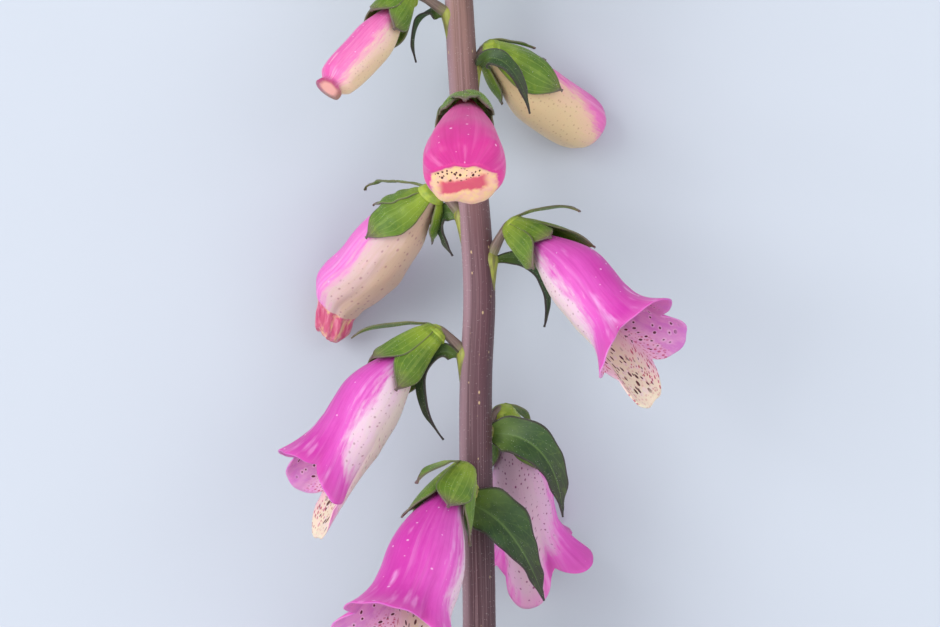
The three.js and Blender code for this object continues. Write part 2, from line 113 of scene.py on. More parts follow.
def useOnly(*pieces):
    bpy.ops.object.select_all(action="DESELECT")
    for piece in pieces:
        piece.select_set(True)
    bpy.context.view_layer.objects.active = pieces[0]


def wear(piece, *names):
    for name in names:
        piece.data.materials.append(skins[name])


def sheet(name, across, along, point, *coats):  # a grid whose corners go where point(u, v) says
    bpy.ops.mesh.primitive_grid_add(x_subdivisions=across, y_subdivisions=along, size=1)
    piece = bpy.context.object
    piece.name = name
    for vertex in piece.data.vertices:
        vertex.co = placed(point(vertex.co.x + 0.5, vertex.co.y + 0.5))
    wear(piece, *coats)
    return piece


def rolled(name, around, along, point, *coats):  # a sheet whose edges meet, so that it is closed
    piece = sheet(name, around, along, point, *coats)
    useOnly(piece)
    bpy.ops.object.mode_set(mode="EDIT")
    bpy.ops.mesh.select_all(action="SELECT")
    bpy.ops.mesh.remove_doubles(threshold=0.002 * mm)
    bpy.ops.mesh.dissolve_degenerate(threshold=0.0005 * mm)
    bpy.ops.object.mode_set(mode="OBJECT")
    return piece


def thicken(piece, thickness, offset, inside=0):  # inside is the material of the inner wall and the edge
    useOnly(piece)
    wall = piece.modifiers.new("wall", "SOLIDIFY")
    wall.thickness = thickness * mm
    wall.offset = offset
    wall.material_offset = inside
    wall.material_offset_rim = inside
    bpy.ops.object.modifier_apply(modifier=wall.name)


def joinAll(name, parts):
    useOnly(*parts)
    bpy.ops.object.join()
    parts[0].name = name
    return parts[0]


def finish(piece, slot, *nodes):  # smooth faces, its body and the solids that it stands for; slot is not used
    useOnly(piece)
    bpy.ops.object.shade_smooth()
    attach(piece, "root")
    if nodes:
        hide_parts(*nodes)
    return piece


def tube(name, skin, path, radii, around, along):  # closed at both ends
    def point(u, v):
        centre, way = onPath(path, v)
        side = way.cross(offEveryPath).normalized()
        up = side.cross(way)
        radius = steps(radii, v) * math.sqrt(max(0.0, 1 - abs(2 * v - 1) ** tubeEndPower))
        turn = -360 * u
        return centre + side * radius * cosOf(turn) + up * radius * sinOf(turn)

    return rolled(name, around, along, point, skin)


def egg(name, skin, centre, axes, halves, segments=14, rings=10):  # its long axis is the last of its axes
    bpy.ops.mesh.primitive_uv_sphere_add(segments=segments, ring_count=rings, radius=1)
    piece = bpy.context.object
    piece.name = name
    for vertex in piece.data.vertices:
        x, y, z = vertex.co
        spot = axes[0] * x * halves[0] + axes[1] * y * halves[1] + axes[2] * z * halves[2]
        vertex.co = placed(centre + spot)
    wear(piece, skin)
    return piece


def paint(colour):  # screen values become the light that shaders work in, and anything else stays
    def light(value):
        c = value / 255
        return c / 12.92 if c <= 0.04045 else ((c + 0.055) / 1.055) ** 2.4

    return (*map(light, colour), 1) if isinstance(colour, tuple) and len(colour) == 3 else colour


class Skin:  # a material in the making, which keeps its latest colour
    def __init__(self, name, roughness, subsurface=0.0, radius=(1, 0.4, 0.3), scale=1.0, sheen=0.0,
                 specular=0.5):
        self.material = bpy.data.materials.new(name)
        self.material.use_nodes = True
        self.tree = self.material.node_tree
        self.shader = self.tree.nodes["Principled BSDF"]
        settings = {"Roughness": roughness, "Subsurface Weight": subsurface, "Subsurface Radius": radius,
                    "Subsurface Scale": scale * mm, "Sheen Weight": sheen, "Specular IOR Level": specular}
        for key, value in settings.items():
            self.shader.inputs[key].default_value = value

    def node(self, kind, inputs=None, **settings):
        made = self.tree.nodes.new("ShaderNode" + kind)
        for key, value in settings.items():
            setattr(made, key, value)
        for key, value in (inputs or {}).items():
            self.feed(made.inputs[key], value)
        return made

    def feed(self, socket, value):
        if isinstance(value, bpy.types.NodeSocket):
            self.tree.links.new(value, socket)
        else:
            socket.default_value = value

    def maths(self, operation, a, b=0.0, c=0.0):
        return self.node("Math", {0: a, 1: b, 2: c}, operation=operation).outputs[0]

    def chain(self, operation, values):
        return reduce(lambda a, b: self.maths(operation, a, b), values)

    def times(self, *values):
        return self.chain("MULTIPLY", values)

    def plus(self, *values):
        return self.chain("ADD", values)

    def most(self, *values):
        return self.chain("MAXIMUM", values)

    def line(self, value, slope, start):
        return self.maths("MULTIPLY_ADD", value, slope, start)

    def size(self, value):
        return self.maths("ABSOLUTE", value)

    def blend(self, factor, first, second):
        made = self.node("Mix", {0: factor, 6: paint(first), 7: paint(second)}, data_type="RGBA")
        return made.outputs[2]

    def coat(self, where, colour):
        self.colour = self.blend(where, self.colour, colour)

    def between(self, value, low, high, start=0.0, end=1.0):  # a soft step from start to end
        made = self.node("MapRange", {0: value, 1: low, 2: high, 3: start, 4: end})
        made.interpolation_type = "SMOOTHSTEP"
        return made.outputs[0]

    def ramp(self, value, stops):
        made = self.node("ValToRGB", {0: value})
        elements = made.color_ramp.elements
        while len(elements) < len(stops):
            elements.new(0.5)
        for element, (place, colour) in zip(elements, stops):
            element.position = place
            element.color = paint(colour)
        return made.outputs[0]

    def noise(self, vector, scale, detail=2.0, roughness=0.5):
        settings = {"Vector": vector, "Scale": scale, "Detail": detail, "Roughness": roughness}
        return self.node("TexNoise", settings).outputs[0]

    def vector(self, x, y, z=0.0):
        return self.node("CombineXYZ", {0: x, 1: y, 2: z}).outputs[0]

    def sheetPlace(self, layer="UVMap"):  # how far across and along a sheet
        parts = self.node("SeparateXYZ", {0: self.node("UVMap", uv_map=layer).outputs[0]})
        return parts.outputs[0], parts.outputs[1]

    def ringPlace(self, u, v, around, along):  # the same without a seam where the sheet is rolled
        turn = self.times(u, 2 * math.pi)
        x = self.times(self.maths("COSINE", turn), around)
        y = self.times(self.maths("SINE", turn), around)
        return self.vector(x, y, self.times(v, along))

    def object(self, scale=(1, 1, 1)):
        place = self.node("TexCoord").outputs["Object"]
        return self.node("Mapping", {"Vector": place, "Scale": scale}).outputs[0]

    def spots(self, vector, cell, small, large, soft=0.08, filled=0.6):
        # round marks in cells of a given size: 1 inside a mark, and the way to its middle in cells
        scaled = self.node("VectorMath", {0: vector, "Scale": 1 / cell}, operation="SCALE").outputs[0]
        settings = {"Vector": scaled, "Scale": 1.0, "Randomness": 0.85}
        cells = self.node("TexVoronoi", settings, voronoi_dimensions="2D")
        pick = self.node("SeparateColor", {0: cells.outputs["Color"]}).outputs[0]
        size = self.between(pick, 1 - filled, 1.0, small, large)
        chosen = self.maths("GREATER_THAN", pick, 1 - filled)
        inside = self.between(self.maths("SUBTRACT", size, cells.outputs["Distance"]), 0.0, soft)
        return self.times(inside, chosen), cells.outputs["Distance"], chosen

    def bump(self, height, strength, distance):
        made = self.node("Bump", {"Strength": strength, "Distance": distance * mm, "Height": height})
        self.feed(self.shader.inputs["Normal"], made.outputs[0])

    def done(self, translucent=0.0):
        self.feed(self.shader.inputs["Base Color"], self.colour)
        if translucent:
            through = self.node("BsdfTranslucent", {"Color": self.colour})
            both = self.node("MixShader", {0: translucent, 1: self.shader.outputs[0], 2: through.outputs[0]})
            self.tree.links.new(both.outputs[0], self.tree.nodes["Material Output"].inputs["Surface"])
        return self.material


petalLight = {
    "roughness": 0.42, "subsurface": 0.3, "radius": (1.0, 0.4, 0.7), "scale": 0.35, "sheen": 0.15,
    "specular": 0.35,
}


def petalOutside(name, look):
    skin = Skin(name, **petalLight)
    u, v = skin.sheetPlace()
    fromLower = skin.size(skin.line(u, 2.0, -1.0))  # 1 along the upper side
    wide = skin.ringPlace(u, v, 0.9, 1.6)
    patchy = skin.ringPlace(u, v, 1.5, 1.9)
    fine = skin.ringPlace(u, v, 14.0, 2.2)
    wobble = skin.line(skin.noise(wide, 2.2, 3.0), look["wander"], -look["wander"] / 2)
    mottle = skin.line(skin.noise(patchy, 5.5, 4.0, 0.65), 0.34, -0.17)
    atMouth = skin.between(v, look["mouthFrom"], 1.0, 0.0, look["mouthPink"])
    zone = skin.plus(fromLower, wobble, mottle, atMouth)
    skin.colour = skin.ramp(zone, [(look["paleTo"] - 0.22, look["belly"]), (look["paleTo"], look["pale"]),
                                   (look["paleTo"] + 0.15, look["pink"]), (0.98, look["back"])])
    inPink = skin.between(zone, look["paleTo"], look["paleTo"] + 0.2)
    # whitish blotches of painted highlight, and faint long pale stripes in the pink that are partly pigment
    # and partly painted highlight
    patch = skin.between(skin.noise(patchy, 1.9, 3.0, 0.5), 0.55, 0.74, 0.0, look["highlightPatches"])
    skin.coat(skin.times(patch, inPink), look["paleStreakAndHighlight"])
    paleStreakAndHighlight = skin.between(skin.noise(skin.ringPlace(u, v, 3.4, 0.8), 1.6, 3.0), 0.5, 0.75, 0.0, 0.3)
    skin.coat(skin.times(paleStreakAndHighlight, inPink), look["paleStreakAndHighlight"])
    veins = skin.between(skin.noise(fine, 1.0, 2.0), 0.42, 0.75, 0.0, 0.3)
    skin.coat(skin.times(veins, inPink), look["vein"])
    # the inner spots show through the pale side, and the pink has pale dots
    flat = skin.vector(skin.times(u, 46.0), skin.times(v, 46.0))
    show, _, _ = skin.spots(flat, 1.45, 0.12, 0.27, 0.18, 0.72)
    belly = skin.between(zone, look["paleTo"] - 0.05, look["paleTo"] + 0.14, look["showing"], 0.0)
    belly = skin.times(belly, skin.between(v, 0.05, 0.2))
    skin.coat(skin.times(show, belly), look["shadowSpot"])
    dots, _, _ = skin.spots(flat, 2.7, 0.05, 0.13, 0.1, 0.32)
    skin.coat(skin.times(dots, 0.75, inPink), (252, 214, 244))
    skin.coat(skin.between(v, 0.9, 1.0, 0.0, look["rim"]), look["rimColour"])
    if "throat" in look:
        skin.coat(skin.between(v, 0.962, 0.982), look["throat"])
    skin.coat(skin.between(v, 0.0, 0.14, 0.5, 0.0), look["base"])
    height = skin.plus(skin.noise(skin.ringPlace(u, v, 3.2, 0.9), 1.6, 4.0),
                       skin.times(skin.noise(fine, 2.0), 0.3))
    skin.bump(height, 0.35, 0.35)
    return skin.done(look["through"])


def petalInside(name, look):
    skin = Skin(name, **{**petalLight, "sheen": 0.03, "specular": 0.15})
    u, v = skin.sheetPlace()
    side = skin.line(u, 2.0, -1.0)
    fromLower = skin.size(side)
    wide = skin.ringPlace(u, v, 0.9, 1.6)
    fine = skin.ringPlace(u, v, 14.0, 2.0)
    wobble = skin.line(skin.noise(wide, 3.4, 4.0, 0.6), 0.2, -0.1)
    zone = skin.plus(fromLower, wobble)
    skin.colour = skin.ramp(zone, [(0.14, look["lip"]), (0.27, look["lipSide"]), (0.45, look["lobe"]),
                                   (0.9, look["roof"])])
    skin.coat(skin.between(v, 0.25, 0.8, 0.5, 0.0), look["deep"])
    blush = skin.times(skin.between(skin.noise(wide, 6.0, 4.0, 0.65), 0.42, 0.66, 0.0, 0.65),
                       skin.between(zone, 0.2, 0.42))
    skin.coat(blush, look["blush"])
    flat = skin.vector(skin.times(side, 30.0), skin.times(v, 52.0))
    long = skin.vector(skin.times(side, 30.0), skin.times(v, 24.0))
    # scattered round spots, each in a faint pale ring
    near = skin.between(zone, 0.64, 0.84, 1.0, 0.0)
    within = skin.times(near, skin.between(v, 0.93, 0.98, 1.0, 0.0))
    dots, distance, chosen = skin.spots(flat, 1.75, 0.12, 0.24, 0.03, 0.6)
    ring = skin.times(skin.between(distance, 0.26, 0.4, 0.4, 0.0), chosen)
    skin.coat(skin.times(ring, within), look["halo"])
    # long spots in rows down the middle of the lip
    dashes, _, _ = skin.spots(long, 1.1, 0.18, 0.34, 0.05, 0.58)
    middle = skin.times(skin.between(zone, 0.13, 0.2, 1.0, 0.0), skin.between(v, 0.93, 0.99, 1.0, 0.0))
    sides = skin.times(within, skin.between(zone, 0.12, 0.2))
    marks = skin.most(skin.times(dashes, middle), skin.times(dots, sides))
    # fine specks by the edges of the lip
    specks, _, _ = skin.spots(flat, 0.8, 0.2, 0.42, 0.12, 0.8)
    edge = skin.times(skin.between(v, 0.74, 0.84), skin.between(zone, 0.3, 0.44, 1.0, 0.0))
    edge = skin.times(edge, skin.between(zone, 0.06, 0.15, 0.3, 1.0))
    skin.coat(skin.times(specks, edge, 0.8), look["speck"])
    skin.coat(skin.times(marks, 0.94), look["spot"])
    skin.bump(skin.noise(fine, 1.4, 3.0), 0.25, 0.3)
    return skin.done(look["through"])


def foldSkin():  # the lips that are still folded over the mouth
    skin = Skin("foldedLips", **petalLight)
    x, y = skin.sheetPlace("Mouth")
    flat = skin.vector(skin.times(x, 7.5), skin.times(y, 7.5))
    grain = skin.noise(flat, 0.9, 3.0)
    rough = skin.line(grain, 0.2, -0.1)
    across = skin.times(x, x)
    out = skin.maths("SQRT", skin.plus(across, skin.times(y, y)))
    under = skin.line(across, opening["hoodSides"], y)
    under = skin.maths("SUBTRACT", under, opening["hoodTo"])  # less than nothing below the upper lip
    skin.colour = skin.blend(skin.between(grain, 0.35, 0.65), (240, 206, 150), (238, 190, 166))
    low = skin.plus(skin.line(x, 0.2, y), rough)
    patch = skin.times(skin.between(low, -0.44, -0.32), skin.between(low, -0.1, 0.02, 1.0, 0.0))
    patch = skin.times(patch, skin.between(skin.size(x), 0.44, 0.66, 0.9, 0.0))
    skin.coat(patch, (204, 52, 100))
    spots, _, _ = skin.spots(flat, 0.8, 0.16, 0.36, 0.05, 0.72)
    band = skin.times(skin.between(low, -0.1, -0.02), skin.between(under, -0.08, -0.03, 1.0, 0.0))
    band = skin.times(band, skin.between(out, 0.84, 0.9, 1.0, 0.0))
    skin.coat(skin.times(spots, band), (70, 12, 24))
    hood = skin.between(skin.line(rough, 0.3, under), -0.05, 0.02)
    side = skin.between(skin.plus(skin.size(x), rough), 0.72, 0.82)
    edge = skin.blend(grain, (226, 66, 158), (208, 46, 138))
    skin.coat(skin.most(hood, side), edge)
    skin.bump(grain, 0.3, 0.3)
    return skin.done(0.15)


def crumpleSkin():  # the end of a flower whose lips are still crumpled together
    skin = Skin("crumpledLips", **petalLight)
    uv = skin.node("UVMap", uv_map="Mouth").outputs[0]
    wide = skin.noise(uv, 2.6, 3.0, 0.6)
    grain = skin.noise(uv, 9.0, 3.0)
    skin.colour = skin.blend(skin.between(wide, 0.36, 0.5), (236, 196, 146), (210, 94, 128))
    skin.coat(skin.between(wide, 0.52, 0.66), (198, 66, 116))
    skin.coat(skin.between(grain, 0.45, 0.7, 0.0, 0.4), (240, 170, 190))
    skin.bump(skin.plus(wide, skin.times(grain, 0.3)), 0.6, 0.6)
    return skin.done(0.15)


lookNames = ("open", "opening", "openingPale", "bud", "paleBud", "youngBud")
lookRows = {  # for each look in turn; colours are screen values
    "paleTo": (0.42, 0.34, 0.4, 0.54, 0.57, 0.7),
    "mouthFrom": (0.72, 0.5, 0.5, 0.8, 0.62, 0.5),
    "mouthPink": (0.3, 0.45, 0.26, 0.2, 0.34, -0.2),
    "wander": (0.3, 0.2, 0.16, 0.2, 0.12, 0.2),
    # how strongly the whitish blotches of painted highlight show in the pink
    "highlightPatches": (0.75, 0.4, 0.6, 0.7, 0.3, 0.3),
    "showing": (0.6, 0.4, 0.62, 0.4, 0.5, 0.2),
    "through": (0.3, 0.22, 0.2, 0.15, 0.12, 0.1),
    "rim": (0.3, 0.5, 0.0, 0.95, 0.4, 0.2),
    "belly": ((236, 222, 212), (236, 200, 190), (212, 184, 158),
              (232, 210, 168), (222, 196, 152), (220, 212, 160)),
    "pale": ((242, 214, 230), (236, 150, 190), (224, 194, 192),
             (238, 206, 190), (228, 190, 162), (232, 208, 168)),
    "pink": ((233, 100, 205), (224, 72, 160), (240, 128, 212),
             (238, 130, 190), (228, 112, 182), (232, 160, 160)),
    "back": ((214, 56, 178), (210, 50, 148), (226, 82, 190), (224, 84, 168), (210, 70, 164), (218, 118, 150)),
    # whitish pink of the painted highlight blotches and of the long pale stripes, which are partly pigment
    # and partly painted highlight
    "paleStreakAndHighlight": ((249, 194, 242), (240, 140, 200), (248, 190, 234),
               (247, 206, 222), (240, 180, 214), (240, 206, 190)),
    "vein": ((198, 48, 162), (188, 32, 124), (206, 70, 160), (206, 76, 146), (200, 76, 150), (214, 130, 136)),
    "shadowSpot": ((170, 112, 136), (168, 118, 128), (168, 112, 122),
                   (172, 128, 112), (168, 122, 100), (190, 160, 120)),
    "rimColour": ((230, 116, 196), (214, 52, 142), (226, 120, 160),
                  (146, 22, 46), (216, 96, 160), (230, 198, 150)),
    "base": ((236, 206, 214), (224, 120, 170), (236, 206, 196),
             (238, 214, 206), (226, 204, 170), (200, 206, 140)),
}
petalLooks = {name: {key: row[k] for key, row in lookRows.items()} for k, name in enumerate(lookNames)}
petalLooks["bud"]["throat"] = (236, 170, 158)
petalLooks["shaded"] = {
    **petalLooks["open"], "showing": 1.0, "wander": 0.6, "mouthPink": 0.36,
    "belly": (222, 186, 206), "pale": (228, 180, 214), "shadowSpot": (150, 70, 122),
}
insideLook = {
    "through": 0.3,
    "lip": (243, 231, 206), "lipSide": (244, 208, 222), "lobe": (230, 166, 216),
    "roof": (218, 120, 194), "deep": (198, 92, 152), "blush": (212, 118, 206),
    "halo": (246, 222, 236), "spot": (86, 0, 34), "speck": (190, 16, 92),
}


def greenSkin(name, look):
    skin = Skin(name, look["roughness"], subsurface=0.2, radius=(0.6, 1.0, 0.3), scale=0.8, sheen=0.08,
                specular=0.35)
    u, v = skin.sheetPlace()
    side = skin.size(skin.line(u, 2.0, -1.0))
    place = skin.object()
    patch = skin.noise(place, 220.0, 4.0)
    skin.colour = skin.ramp(v, [(0.0, look["foot"]), (0.35, look["blade"]), (0.5, look["blade"]),
                                (0.85, look["tip"])])
    skin.coat(skin.between(patch, 0.42, 0.68, 0.0, 0.55), look["patch"])
    skin.coat(skin.between(skin.noise(place, 900.0), 0.5, 0.75, 0.0, 0.25), look["foot"])
    # parallel veins from the foot to the tip
    rows = skin.maths("SINE", skin.times(u, 2 * math.pi * look["veins"]))
    veins = skin.between(rows, 0.86, 1.0)
    midrib = skin.between(side, 0.02, 0.09, 1.0, 0.0)
    slant = skin.plus(skin.times(v, 44.0), skin.times(side, -15.0))
    branches = skin.between(skin.maths("SINE", slant), 0.9, 1.0, 0.0, look["branches"])
    lines = skin.most(skin.times(veins, look["veinStrength"]), branches)
    lines = skin.most(lines, skin.times(midrib, look["midrib"]))
    skin.coat(lines, look["line"])
    dark = skin.most(skin.between(side, 0.9, 1.0), skin.between(v, 0.9, 1.0))
    skin.coat(skin.times(dark, look["edgeStrength"]), look["edge"])
    height = skin.plus(skin.times(lines, -0.6), skin.times(patch, 0.5))
    height = skin.plus(height, skin.times(skin.noise(place, 1500.0), 0.15))
    skin.bump(height, 0.5, 0.25)
    return skin.done(look["through"])


greenLooks = {
    "sepal": {
        "roughness": 0.5, "veins": 7, "veinStrength": 0.3, "branches": 0.0, "midrib": 0.2, "through": 0.15,
        "foot": (152, 174, 46), "blade": (98, 130, 34), "tip": (122, 92, 90),
        "patch": (62, 100, 16), "line": (164, 186, 88), "edge": (112, 92, 94),
        "edgeStrength": 0.6,
    },
    "bract": {
        "roughness": 0.48, "veins": 5, "veinStrength": 0.12, "branches": 0.22, "midrib": 0.7, "through": 0.08,
        "foot": (98, 122, 46), "blade": (48, 76, 34), "tip": (50, 52, 40),
        "patch": (28, 54, 22), "line": (92, 120, 58), "edge": (56, 38, 46),
        "edgeStrength": 0.75,
    },
    "bud": {
        "roughness": 0.5, "veins": 5, "veinStrength": 0.3, "branches": 0.0, "midrib": 0.4, "through": 0.1,
        "foot": (116, 152, 60), "blade": (98, 138, 50), "tip": (96, 104, 62),
        "patch": (72, 118, 40), "line": (160, 186, 104), "edge": (104, 84, 84),
        "edgeStrength": 0.55,
    },
}


def stemSkin():
    skin = Skin("stemSkin", roughness=0.46, subsurface=0.12, radius=(1.0, 0.5, 0.5), scale=0.8, sheen=0.06,
                specular=0.3)
    u, v = skin.sheetPlace()
    fine = skin.noise(skin.ringPlace(u, v, 9.0, 5.0), 1.6, 4.0, 0.6)
    broad = skin.noise(skin.ringPlace(u, v, 1.3, 3.0), 1.4, 3.0)
    skin.colour = skin.ramp(v, [(0.0, (76, 50, 54)), (0.45, (80, 50, 58)), (0.58, (94, 60, 68)),
                                (0.72, (136, 100, 96)), (0.84, (146, 114, 96)), (1.0, (116, 126, 80))])
    skin.coat(skin.between(broad, 0.35, 0.7, 0.0, 0.4), (74, 46, 54))
    skin.coat(skin.between(fine, 0.5, 0.72, 0.0, 0.42), (172, 140, 144))
    skin.coat(skin.between(fine, 0.28, 0.44, 0.5, 0.0), (64, 36, 42))
    # painted highlight along one side of the stem and painted shade on the opposite side
    around = skin.maths("COSINE", skin.times(skin.maths("SUBTRACT", u, stem["highlightSide"]), 2 * math.pi))
    skin.coat(skin.between(around, 0.7, 1.0, 0.0, 0.5), (184, 150, 160))
    skin.coat(skin.between(around, -1.0, 0.2, 0.5, 0.0), (66, 38, 42))
    flat = skin.vector(skin.times(u, 26.0), skin.times(v, 200.0))
    marks, _, _ = skin.spots(flat, 2.6, 0.05, 0.12, 0.08, 0.22)  # small corky marks
    skin.coat(skin.times(marks, 0.7), (214, 186, 140))
    foot = skin.between(v, 0.0, 0.03, 0.35, 0.0)
    skin.coat(foot, (122, 130, 84))
    height = skin.plus(fine, skin.times(marks, 0.5))
    skin.bump(height, 0.5, 0.3)
    return skin.done()


def stalkSkin():
    skin = Skin("stalkSkin", roughness=0.5, subsurface=0.15, scale=0.6, sheen=0.2)
    u, v = skin.sheetPlace()
    grain = skin.noise(skin.ringPlace(u, v, 5.0, 2.0), 1.5, 3.0)
    skin.colour = skin.ramp(v, [(0.0, (120, 124, 62)), (0.25, (98, 78, 70)), (0.7, (104, 86, 76)),
                                (1.0, (122, 140, 64))])
    skin.coat(skin.between(grain, 0.4, 0.7, 0.0, 0.5), (150, 126, 116))
    skin.bump(grain, 0.4, 0.2)
    return skin.done()


def plainSkin(name, light, dark, roughness, grainScale=1600.0, darkFrom=0.35, stretch=(1, 1, 1),
              bump=(0.4, 0.15), subsurface=0.2, **more):  # two close tones in fine grain
    skin = Skin(name, roughness, subsurface, **{"scale": 0.6, **more})
    grain = skin.noise(skin.object(stretch), grainScale, 3.0)
    skin.bump(grain, *bump)
    skin.colour = skin.blend(skin.between(grain, darkFrom, 0.65), light, dark)
    return skin.done()


stem = {
    "around": 48,
    "along": 240,
    "foot": -185,
    "top": 152,
    "ribs": 5,
    "ribHeight": 0.05,
    "ribTurn": 0.6,  # degrees a millimetre
    "unevenness": 0.16,
    "roughAround": 1.5,
    "roughAlong": 0.05,
    "inset": 0.004,  # the two ends close within this share of the length
    "cutDepth": 0.02,
    "crispFrom": 50,  # sharper edges than this stay crisp
    "highlightSide": 0.56,  # where the painted highlight lies, as a share of the way round; painted shade lies opposite
    "rows": [  # y, x, z and radius
        (-185, 1.0, 3.6, 4.3), (-172, 1.2, 5.4, 4.3), (-140, 1.9, 13.2, 4.2), (-105, 2.4, 22.0, 4.05),
        (-67, 2.0, 29.2, 3.9), (-35, 1.3, 31.6, 3.85), (-15, 1.4, 31.6, 3.8), (4, 2.2, 30.8, 3.75),
        (20, 1.3, 29.4, 3.7), (51, -1.3, 25.4, 3.5), (70, -2.4, 23.4, 3.4), (110, -4.2, 20.8, 2.9),
        (150, -4.4, 20.4, 2.2), (180, -3.2, 21.2, 1.4), (206, -2.0, 22.4, 0.8),
    ],
}


def stemAt(y):  # the axis and the radius at a height, on a smooth curve through the rows
    rows = stem["rows"]
    after = max(1, next((i for i, row in enumerate(rows) if row[0] >= y), len(rows) - 1))
    a, b = rows[after - 1], rows[after]
    before, beyond = rows[max(0, after - 2)], rows[min(len(rows) - 1, after + 1)]
    t = share(a[0], b[0], y)
    x, z, radius = [
        mix(a[k], b[k], t * t * (3 - 2 * t))
        + (b[k] - before[k]) / (b[0] - before[0]) * (b[0] - a[0]) * t * (1 - t) ** 2
        - (beyond[k] - a[k]) / (beyond[0] - a[0]) * (b[0] - a[0]) * t * t * (1 - t)
        for k in (1, 2, 3)
    ]
    return Vector((x, y, z)), radius


def stemSurface(u, v):
    y = mix(stem["foot"], stem["top"], share(stem["inset"], 1 - stem["inset"], v))
    centre, radius = stemAt(y)
    azimuth = -360 * u
    way = towards(azimuth)
    rough = noise.noise(way * stem["roughAround"] + Vector((0, y * stem["roughAlong"], 0)))
    ribs = stem["ribHeight"] * cosOf(stem["ribs"] * azimuth + y * stem["ribTurn"])
    radius += ribs + stem["unevenness"] * rough
    return centre + way * radius * min(1.0, v / stem["inset"], (1 - v) / stem["inset"])


def makeStem():
    piece = rolled("stemBark", stem["around"], stem["along"], stemSurface, "stem", "cut")
    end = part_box("stem")[0].y + stem["cutDepth"] * mm
    for face in piece.data.polygons:
        if face.center.y < end:
            face.material_index = 1
    finish(piece, "stem", "stem")
    bpy.ops.object.shade_smooth_by_angle(angle=math.radians(stem["crispFrom"]))
    return piece


bell = {
    "around": 96,
    "along": 60,
    "throat": 2.2,
    "tube": 7.7,
    "swell": (2, 23),
    "floor": 8,  # where the hollow begins
    "floorShare": 0.16,
    "hump": 1.5,
    "humpLength": 30,
    "rim": 41.5,
    "lobes": [
        {"centre": 0, "halfWidth": 56, "length": 2.4, "flare": 3.8, "power": 0.62},
        {"centre": 98, "halfWidth": 40, "length": 4.4, "flare": 5.4, "power": 0.85},
        {"centre": 180, "halfWidth": 47, "length": 11.6, "flare": 2.4, "power": 0.55},
    ],
    "flareFrom": 33,
    "flare": 1,
    "flarePower": 1.8,
    "wall": 0.34,
    "twistFrom": 0.55,  # where a mouth that is turned against its tube starts to turn
    "grooves": (60, 138),  # angles where the lobes have grown together
    "grooveWidth": 9,
    "grooveDepth": 0.4,
    "waves": 1.0,  # of the rim, outwards
    "wavesFrom": 0.78,
    "frayed": 0.7,  # of the rim, lengthwise
    "uneven": (0.2, 0.5),  # at the base and at the rim
}
opening = {
    "along": 96,
    "hoodTo": 0.3,  # the upper lip covers the mouth down to here
    "hoodSides": 0.42,  # how much lower it comes at its two sides
    "hoodHeight": 0.7,
    "ridges": 0.35,  # of the folded lips
    "lipDepth": 2.5,
    "uneven": 0.3,
}
bud = {
    "around": 56,
    "along": 44,
    "length": 36,
    "throat": 2.2,
    "radius": 6.6,
    "swell": (0, 17),
    "belly": 1.3,
    "taperFrom": 20,
    "taperPower": 2.6,
    "seams": (48, 112, 180),  # where the shut lobes meet
    "seamWidth": 11,
    "seamDepth": 0.45,
    "uneven": 0.25,
    "flareFrom": 0.86,  # of a bud whose tip has just come open
    "waistAt": 0.925,
    "waist": 2.7,
    "flareAt": 0.957,
    "flareWidth": 3.6,
    "flareUneven": 0.2,
    "flareDeep": 1.5,
}


def fromUpperSide(angle):
    return min(angle % 360, 360 - angle % 360)


def lobes(angle, key):  # what each lobe gives at an angle
    given = []
    for lobe in bell["lobes"]:
        x = (fromUpperSide(angle) - lobe["centre"]) / lobe["halfWidth"]
        given.append(lobe[key] * max(0.0, 1 - x * x) ** lobe["power"])
    return given


def bellRim(angle):
    return bell["rim"] + max(lobes(angle, "length"))


def tubeRadius(length, swell=bell["swell"]):
    return mix(bell["throat"], bell["tube"], smooth(*swell, length))


def bellRadius(angle, length, swell, wide):
    mouth = share(bell["flareFrom"], bellRim(angle), length)
    flare = (bell["flare"] + sum(lobes(angle, "flare"))) * wide
    return tubeRadius(length, swell) + flare * mouth ** bell["flarePower"]


def bellShift(length):
    return bell["hump"] * math.sin(math.pi * share(0, bell["humpLength"], length))


def budRadius(length, taper):
    swollen = mix(bud["throat"], bud["radius"], smooth(*bud["swell"], length))
    return swollen * math.sqrt(1 - share(bud["taperFrom"], bud["length"], length) ** taper)


def budShift(length):
    return -bud["belly"] * math.sin(math.pi * length / bud["length"])


def ringAt(angle, seed):  # where the noise of one form is read
    return Vector((cosOf(angle), sinOf(angle), seed * patterns["apart"]))


def ridges(angle, places, width):
    return sum(math.exp(-((fromUpperSide(angle) - place) / width) ** 2) for place in places)


def bellFrame(flower):  # from a bell's own sizes to the plan: upper side, across, length
    level = towards(flower["turn"])
    cos, sin = cosOf(flower["droop"]), sinOf(flower["droop"])
    axis = level * cos - Vector((0, sin, 0))
    upper = level * sin + Vector((0, cos, 0))
    upper.rotate(Quaternion(axis, math.radians(flower["roll"])))
    across = axis.cross(upper)
    base = stemAt(flower["y"])[0] + towards(flower["side"]) * flower["out"] + Vector((0, flower["rise"], 0))
    size = flower["size"]

    def point(angle, radius, length, shift=0.0):
        x, y = radius * cosOf(angle) + shift, radius * sinOf(angle)
        return base + (upper * x + across * y + axis * length) * size

    return point


def grooved(angle, v):
    depth = bell["grooveDepth"] * ridges(angle, bell["grooves"], bell["grooveWidth"])
    return -depth * smooth(0.3, 0.85, v)


